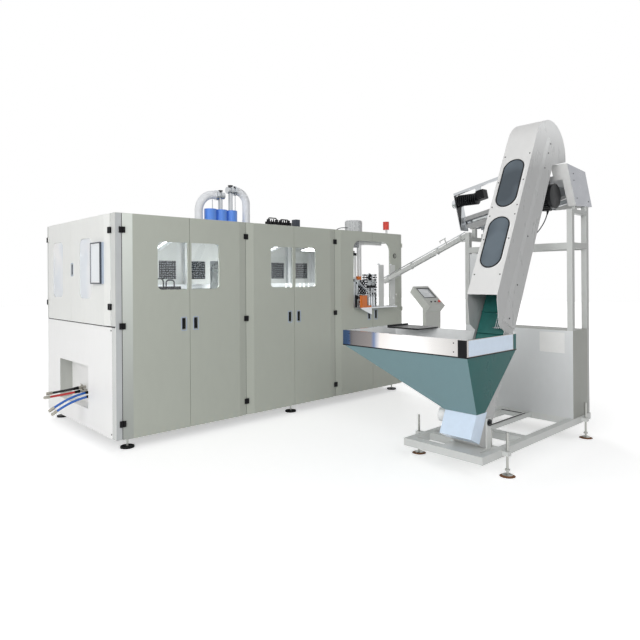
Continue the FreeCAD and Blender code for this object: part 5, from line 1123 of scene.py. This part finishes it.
# %% Plates
# name: width, height, corner radius, middle, face, finish
PLATES = {
    "bare_card": (240, 192, 3, (3190, -2415, 894), END_FACE, PAPER),
    "infeed_guard": (140, 94, 10, (3072, 22, 1940), DOOR_FACE, GUARD_MESH),
    "rim_corner": (76, 122, 2, (1480, -2534, 994.5), END_FACE, BLACK_PLASTIC),
    # the pale blue sheet on the rim's front is a painted reflection
    "rim_painted_reflection": (640, 116, 2, (1822, -2573, 994.5), DOOR_FACE, BLUE_FILM_AND_REFLECTION),
    "rim_strip": (44, 120, 2, (2174, -2573, 994.5), DOOR_FACE, DEEP_TEAL_AND_SHADE),
}
for name, (wide, tall, corner, at, face, coat) in PLATES.items():
    make_piece(name, [placed(stacked(wide, tall, corner, THIN), at, face)], coat)

# %% [markdown]
# ## Rim gasket and knob ring
# The hopper's rim stands on a gasket, and the last door's round knob on a rubber ring.
# They are closed frames, as the windows' gaskets are; a ring is a frame whose corners
# are half its width.

# %% Gasket and ring
GASKET = [(-4, -8), (-4, 0), (3, 0), (3, -8)]
RING = [(-2, 0), (-2, 3), (3, 3), (3, 0)]
make_piece("rim_gasket", [framed(720, 1247, 4, GASKET, (1840, -1949.5, 933), UPWARDS)],
           RUBBER_AND_GAP_SHADE, closed=True)
make_piece("knob_ring", [framed(58, 58, 29, RING, (3790, -22, 1805), DOOR_FACE)],
           RUBBER_AND_GAP_SHADE, closed=True)

# %% [markdown]
# ## Screws
# Pan-head screws hold the tower's covers, the end panel, the hood and the rim. Their
# recesses are too small to see, so one small turned head of three rings is repeated at
# every place. Instances would be lighter, but each head would be an object of its own.

# %% Screws


def screws(places, face, radius):
    """Heads of that radius: 0.3 of it tall at their edge and 0.5 at their flat top."""
    head = stacked(2 * radius, 2 * radius, radius, [(0, -1), (0, radius * 0.3),
                                                    (radius * 0.35, radius * 0.5)], 2)
    return [placed(head, at, face) for at in places]


tower_front = [leaning(-298, y, along) for y in (-2500, -2270)
               for along in (1230, 1560, 1790, 1880, 2130, 2400)]
tower_side = [leaning(across, -2532, along) for across, along in
              ((-57, 2660), (-57, 2560), (-60, 2400), (-75, 1700), (-60, 1250), (-60, 950))]
end_panel = [(0, 92, z) for z in (1060, 140)]
hood = [(x, -2600, z) for x, z in ((3250, 2470), (3262, 2410), (3330, 2250), (3600, 2240))]
rim = [(1480, y, z) for y in (-2460, -1400) for z in (965, 1030)]
for name, heads in (
        ("tower_screws", screws(tower_front, TOWER_FACE, 6) + screws(tower_side, DOOR_FACE, 7)),
        ("panel_screws", screws(end_panel, END_FACE, 8) + screws(hood, DOOR_FACE, 6)),
        ("rim_screws", screws(rim, END_FACE, 5))):
    make_piece(name, heads, BLACK_OXIDE)

# %% [markdown]
# ## Guide rods in the tower's mouth
# Thin bright rods lie before the teal belt in the open mouth and keep what it lifts on it.
# They run up the tower between two cross bars, so they are turned shapes whose axis lies
# in the tower's own direction.

# %% Guide rods
MOUTH_FOOT, MOUTH_TOP = 850, 1000
ROD = [(1.5, 0), (3, 1.5), (3, 148.5), (1.5, 150)]
BAR = [(4, 0), (4, 110), (3, 112)]
rods = [turned(leaning(-64, y, MOUTH_FOOT), leaning(-64, y, MOUTH_TOP), ROD, 2)
        for y in range(-2494, -2420, 16)]
rods += [turned(leaning(-60, -2516.5, along), leaning(-60, -2400, along), BAR, 2)
         for along in (864, 986)]
make_piece("mouth_rods", rods, CHROME)

# %% [markdown]
# ## Air fittings
# Black push-in fittings crown the infeed's cylinder, posts and feeder and the valves of
# the roof's island, lids and split flanges close the valve heads, and chrome caps sit on
# the infeed's feeder and posts and on the star's hub. Each is a turned profile on the top
# of its carrier: drawn once, it fits every place.

# %% Fittings
FITTING = [(10, 0), (10, 6), (7, 7), (7, 16), (9, 17), (9, 26), (6, 28), (4, 29)]
CAP = [(15, 0), (16, 2), (16, 9), (13, 11), (13, 15), (7, 18)]
LID = [(24, -6), (24, 2), (30, 3), (30, 9), (24, 11)]
FLANGE = [(46, 0), (57, 2), (57, 10), (50, 12), (50, 18), (57, 20), (57, 28), (46, 30)]


def crown(profile, tops):
    """The profile turned upright on each top."""
    return [turned(top, np.array(top, float) + UP, profile, 3) for top in tops]


island_tops = [(x, y, 2196) for x in range(2091, 2402, 62) for y in (495, 535)]
infeed_tops = [(3085, 60, 1467), (3130, 60, 1439), (3187, 150, 1833), (3215, -20, 1299),
               (3245, 20, 1299), (3275, -10, 1299), (3225, -12, 1309), (3232, 46, 1299),
               (3100, 200, 1137), (3172, 162, 1514)]
cap_tops = [(3240, -12, 1299), (3262, 36, 1299), (3370, -106, 1678), (3600, -106, 1679)]
make_piece("valve_flanges", [turned((x, DUCT_Y, z), (x + way, DUCT_Y, z), FLANGE)
                             for x, z, way in ((1402, 2445, -100), (1615, 2516, 100))], CHROME)
make_piece("valve_lids", crown(LID, [(1441, DUCT_Y, 2493), (1576, DUCT_Y, 2564)]), BLACK_OXIDE)
make_piece("island_fittings", crown(FITTING, island_tops), BLACK_PLASTIC)
make_piece("infeed_fittings", crown(FITTING, infeed_tops), BLACK_PLASTIC)
make_piece("infeed_caps", crown(CAP, cap_tops), CHROME)
make_piece("star_cap", crown(CAP, [(3460, 130, 1559)]), CHROME, "starwheel")

# %% [markdown]
# ## Transfer chains and star grippers
# Rows of rollers pass the bottle blanks from the guide to the star: black and chrome beads
# on dark plates. The star has columns of gripper beads, which turn with it. One bead is
# repeated at the places of a grid, black and chrome like a chessboard. Two pieces hold
# them, one for each finish, because separate beads would be hundreds of objects.

# %% Beads
BEAD = [(8, 0), (11, 2), (11, 5), (7, 7)]
GRIPPER = [(8, 0), (12, 3), (12, 17), (8, 20)]
LINK_X, LINK_Z = 26, 24
COLUMNS, STAR_RADIUS, GRIPPER_STEP = 14, 84, 32
STAR_X, STAR_Y, STAR_FOOT = 3460, 130, 1350


def chequered(kind, profile, places, towards, body):
    """Places are (row, column, point); where row + column is even the bead is chrome."""
    for parity, coat in ((0, CHROME), (1, BLACK_PLASTIC)):
        parts = [turned(at, np.array(at, float) + towards, profile, 2)
                 for row, column, at in places if (row + column) % 2 == parity]
        make_piece(f"{kind}_beads_{parity}", parts, coat, body)


make_piece("chain_plates", [box_rings((3220, 110, 1165), (3352, 116, 1485)),
                            box_rings((3372, 96, 1152), (3556, 102, 1325))], BLACK_PLASTIC)
chain = [(i, j, (3236 + LINK_X * i, 110, 1182 + LINK_Z * j)) for i in range(5) for j in range(13)]
chain += [(i, j, (3388 + LINK_X * i, 96, 1168 + LINK_Z * j)) for i in range(7) for j in range(7)]
chequered("chain", BEAD, chain, TO_DOORS, "base")
turns = [2 * math.pi * k / COLUMNS for k in range(COLUMNS)]
star = [(k, j, (STAR_X + STAR_RADIUS * math.cos(turn), STAR_Y + STAR_RADIUS * math.sin(turn),
                STAR_FOOT + GRIPPER_STEP * j)) for k, turn in enumerate(turns) for j in range(7)]
chequered("star", GRIPPER, star, UP, "starwheel")

# %% [markdown]
# ## Unscrambler's motor
# The small motor has disc fins across its body and a knurled chrome cap at its end. Both
# are turned; the cap's knurl is too fine to cut, so grooves round it stand for it.

# %% Unscrambler motor
FIN_DISC = [(56, 0), (62, 2), (62, 8), (56, 10)]
MOTOR_CAP = [(44, -62), (47, -60), (47, -44), (44, -43), (47, -42), (47, -30), (44, -29),
             (47, -28), (47, -8), (42, -6)]
ROTOR_X, DISC_Z, CAP_Z = 3267, 2349, 2317
discs = [turned((ROTOR_X, y, DISC_Z), (ROTOR_X, y + 100, DISC_Z), FIN_DISC, 6)
         for y in range(-1590, -1350, 24)]
make_piece("rotor_motor_fins", discs, BLACK_PAINT)
make_piece("rotor_motor_cap",
           [turned((ROTOR_X, -1290, CAP_Z), (ROTOR_X, -1190, CAP_Z), MOTOR_CAP, 6)], CHROME)

# %% Finish
low, high = cad_box
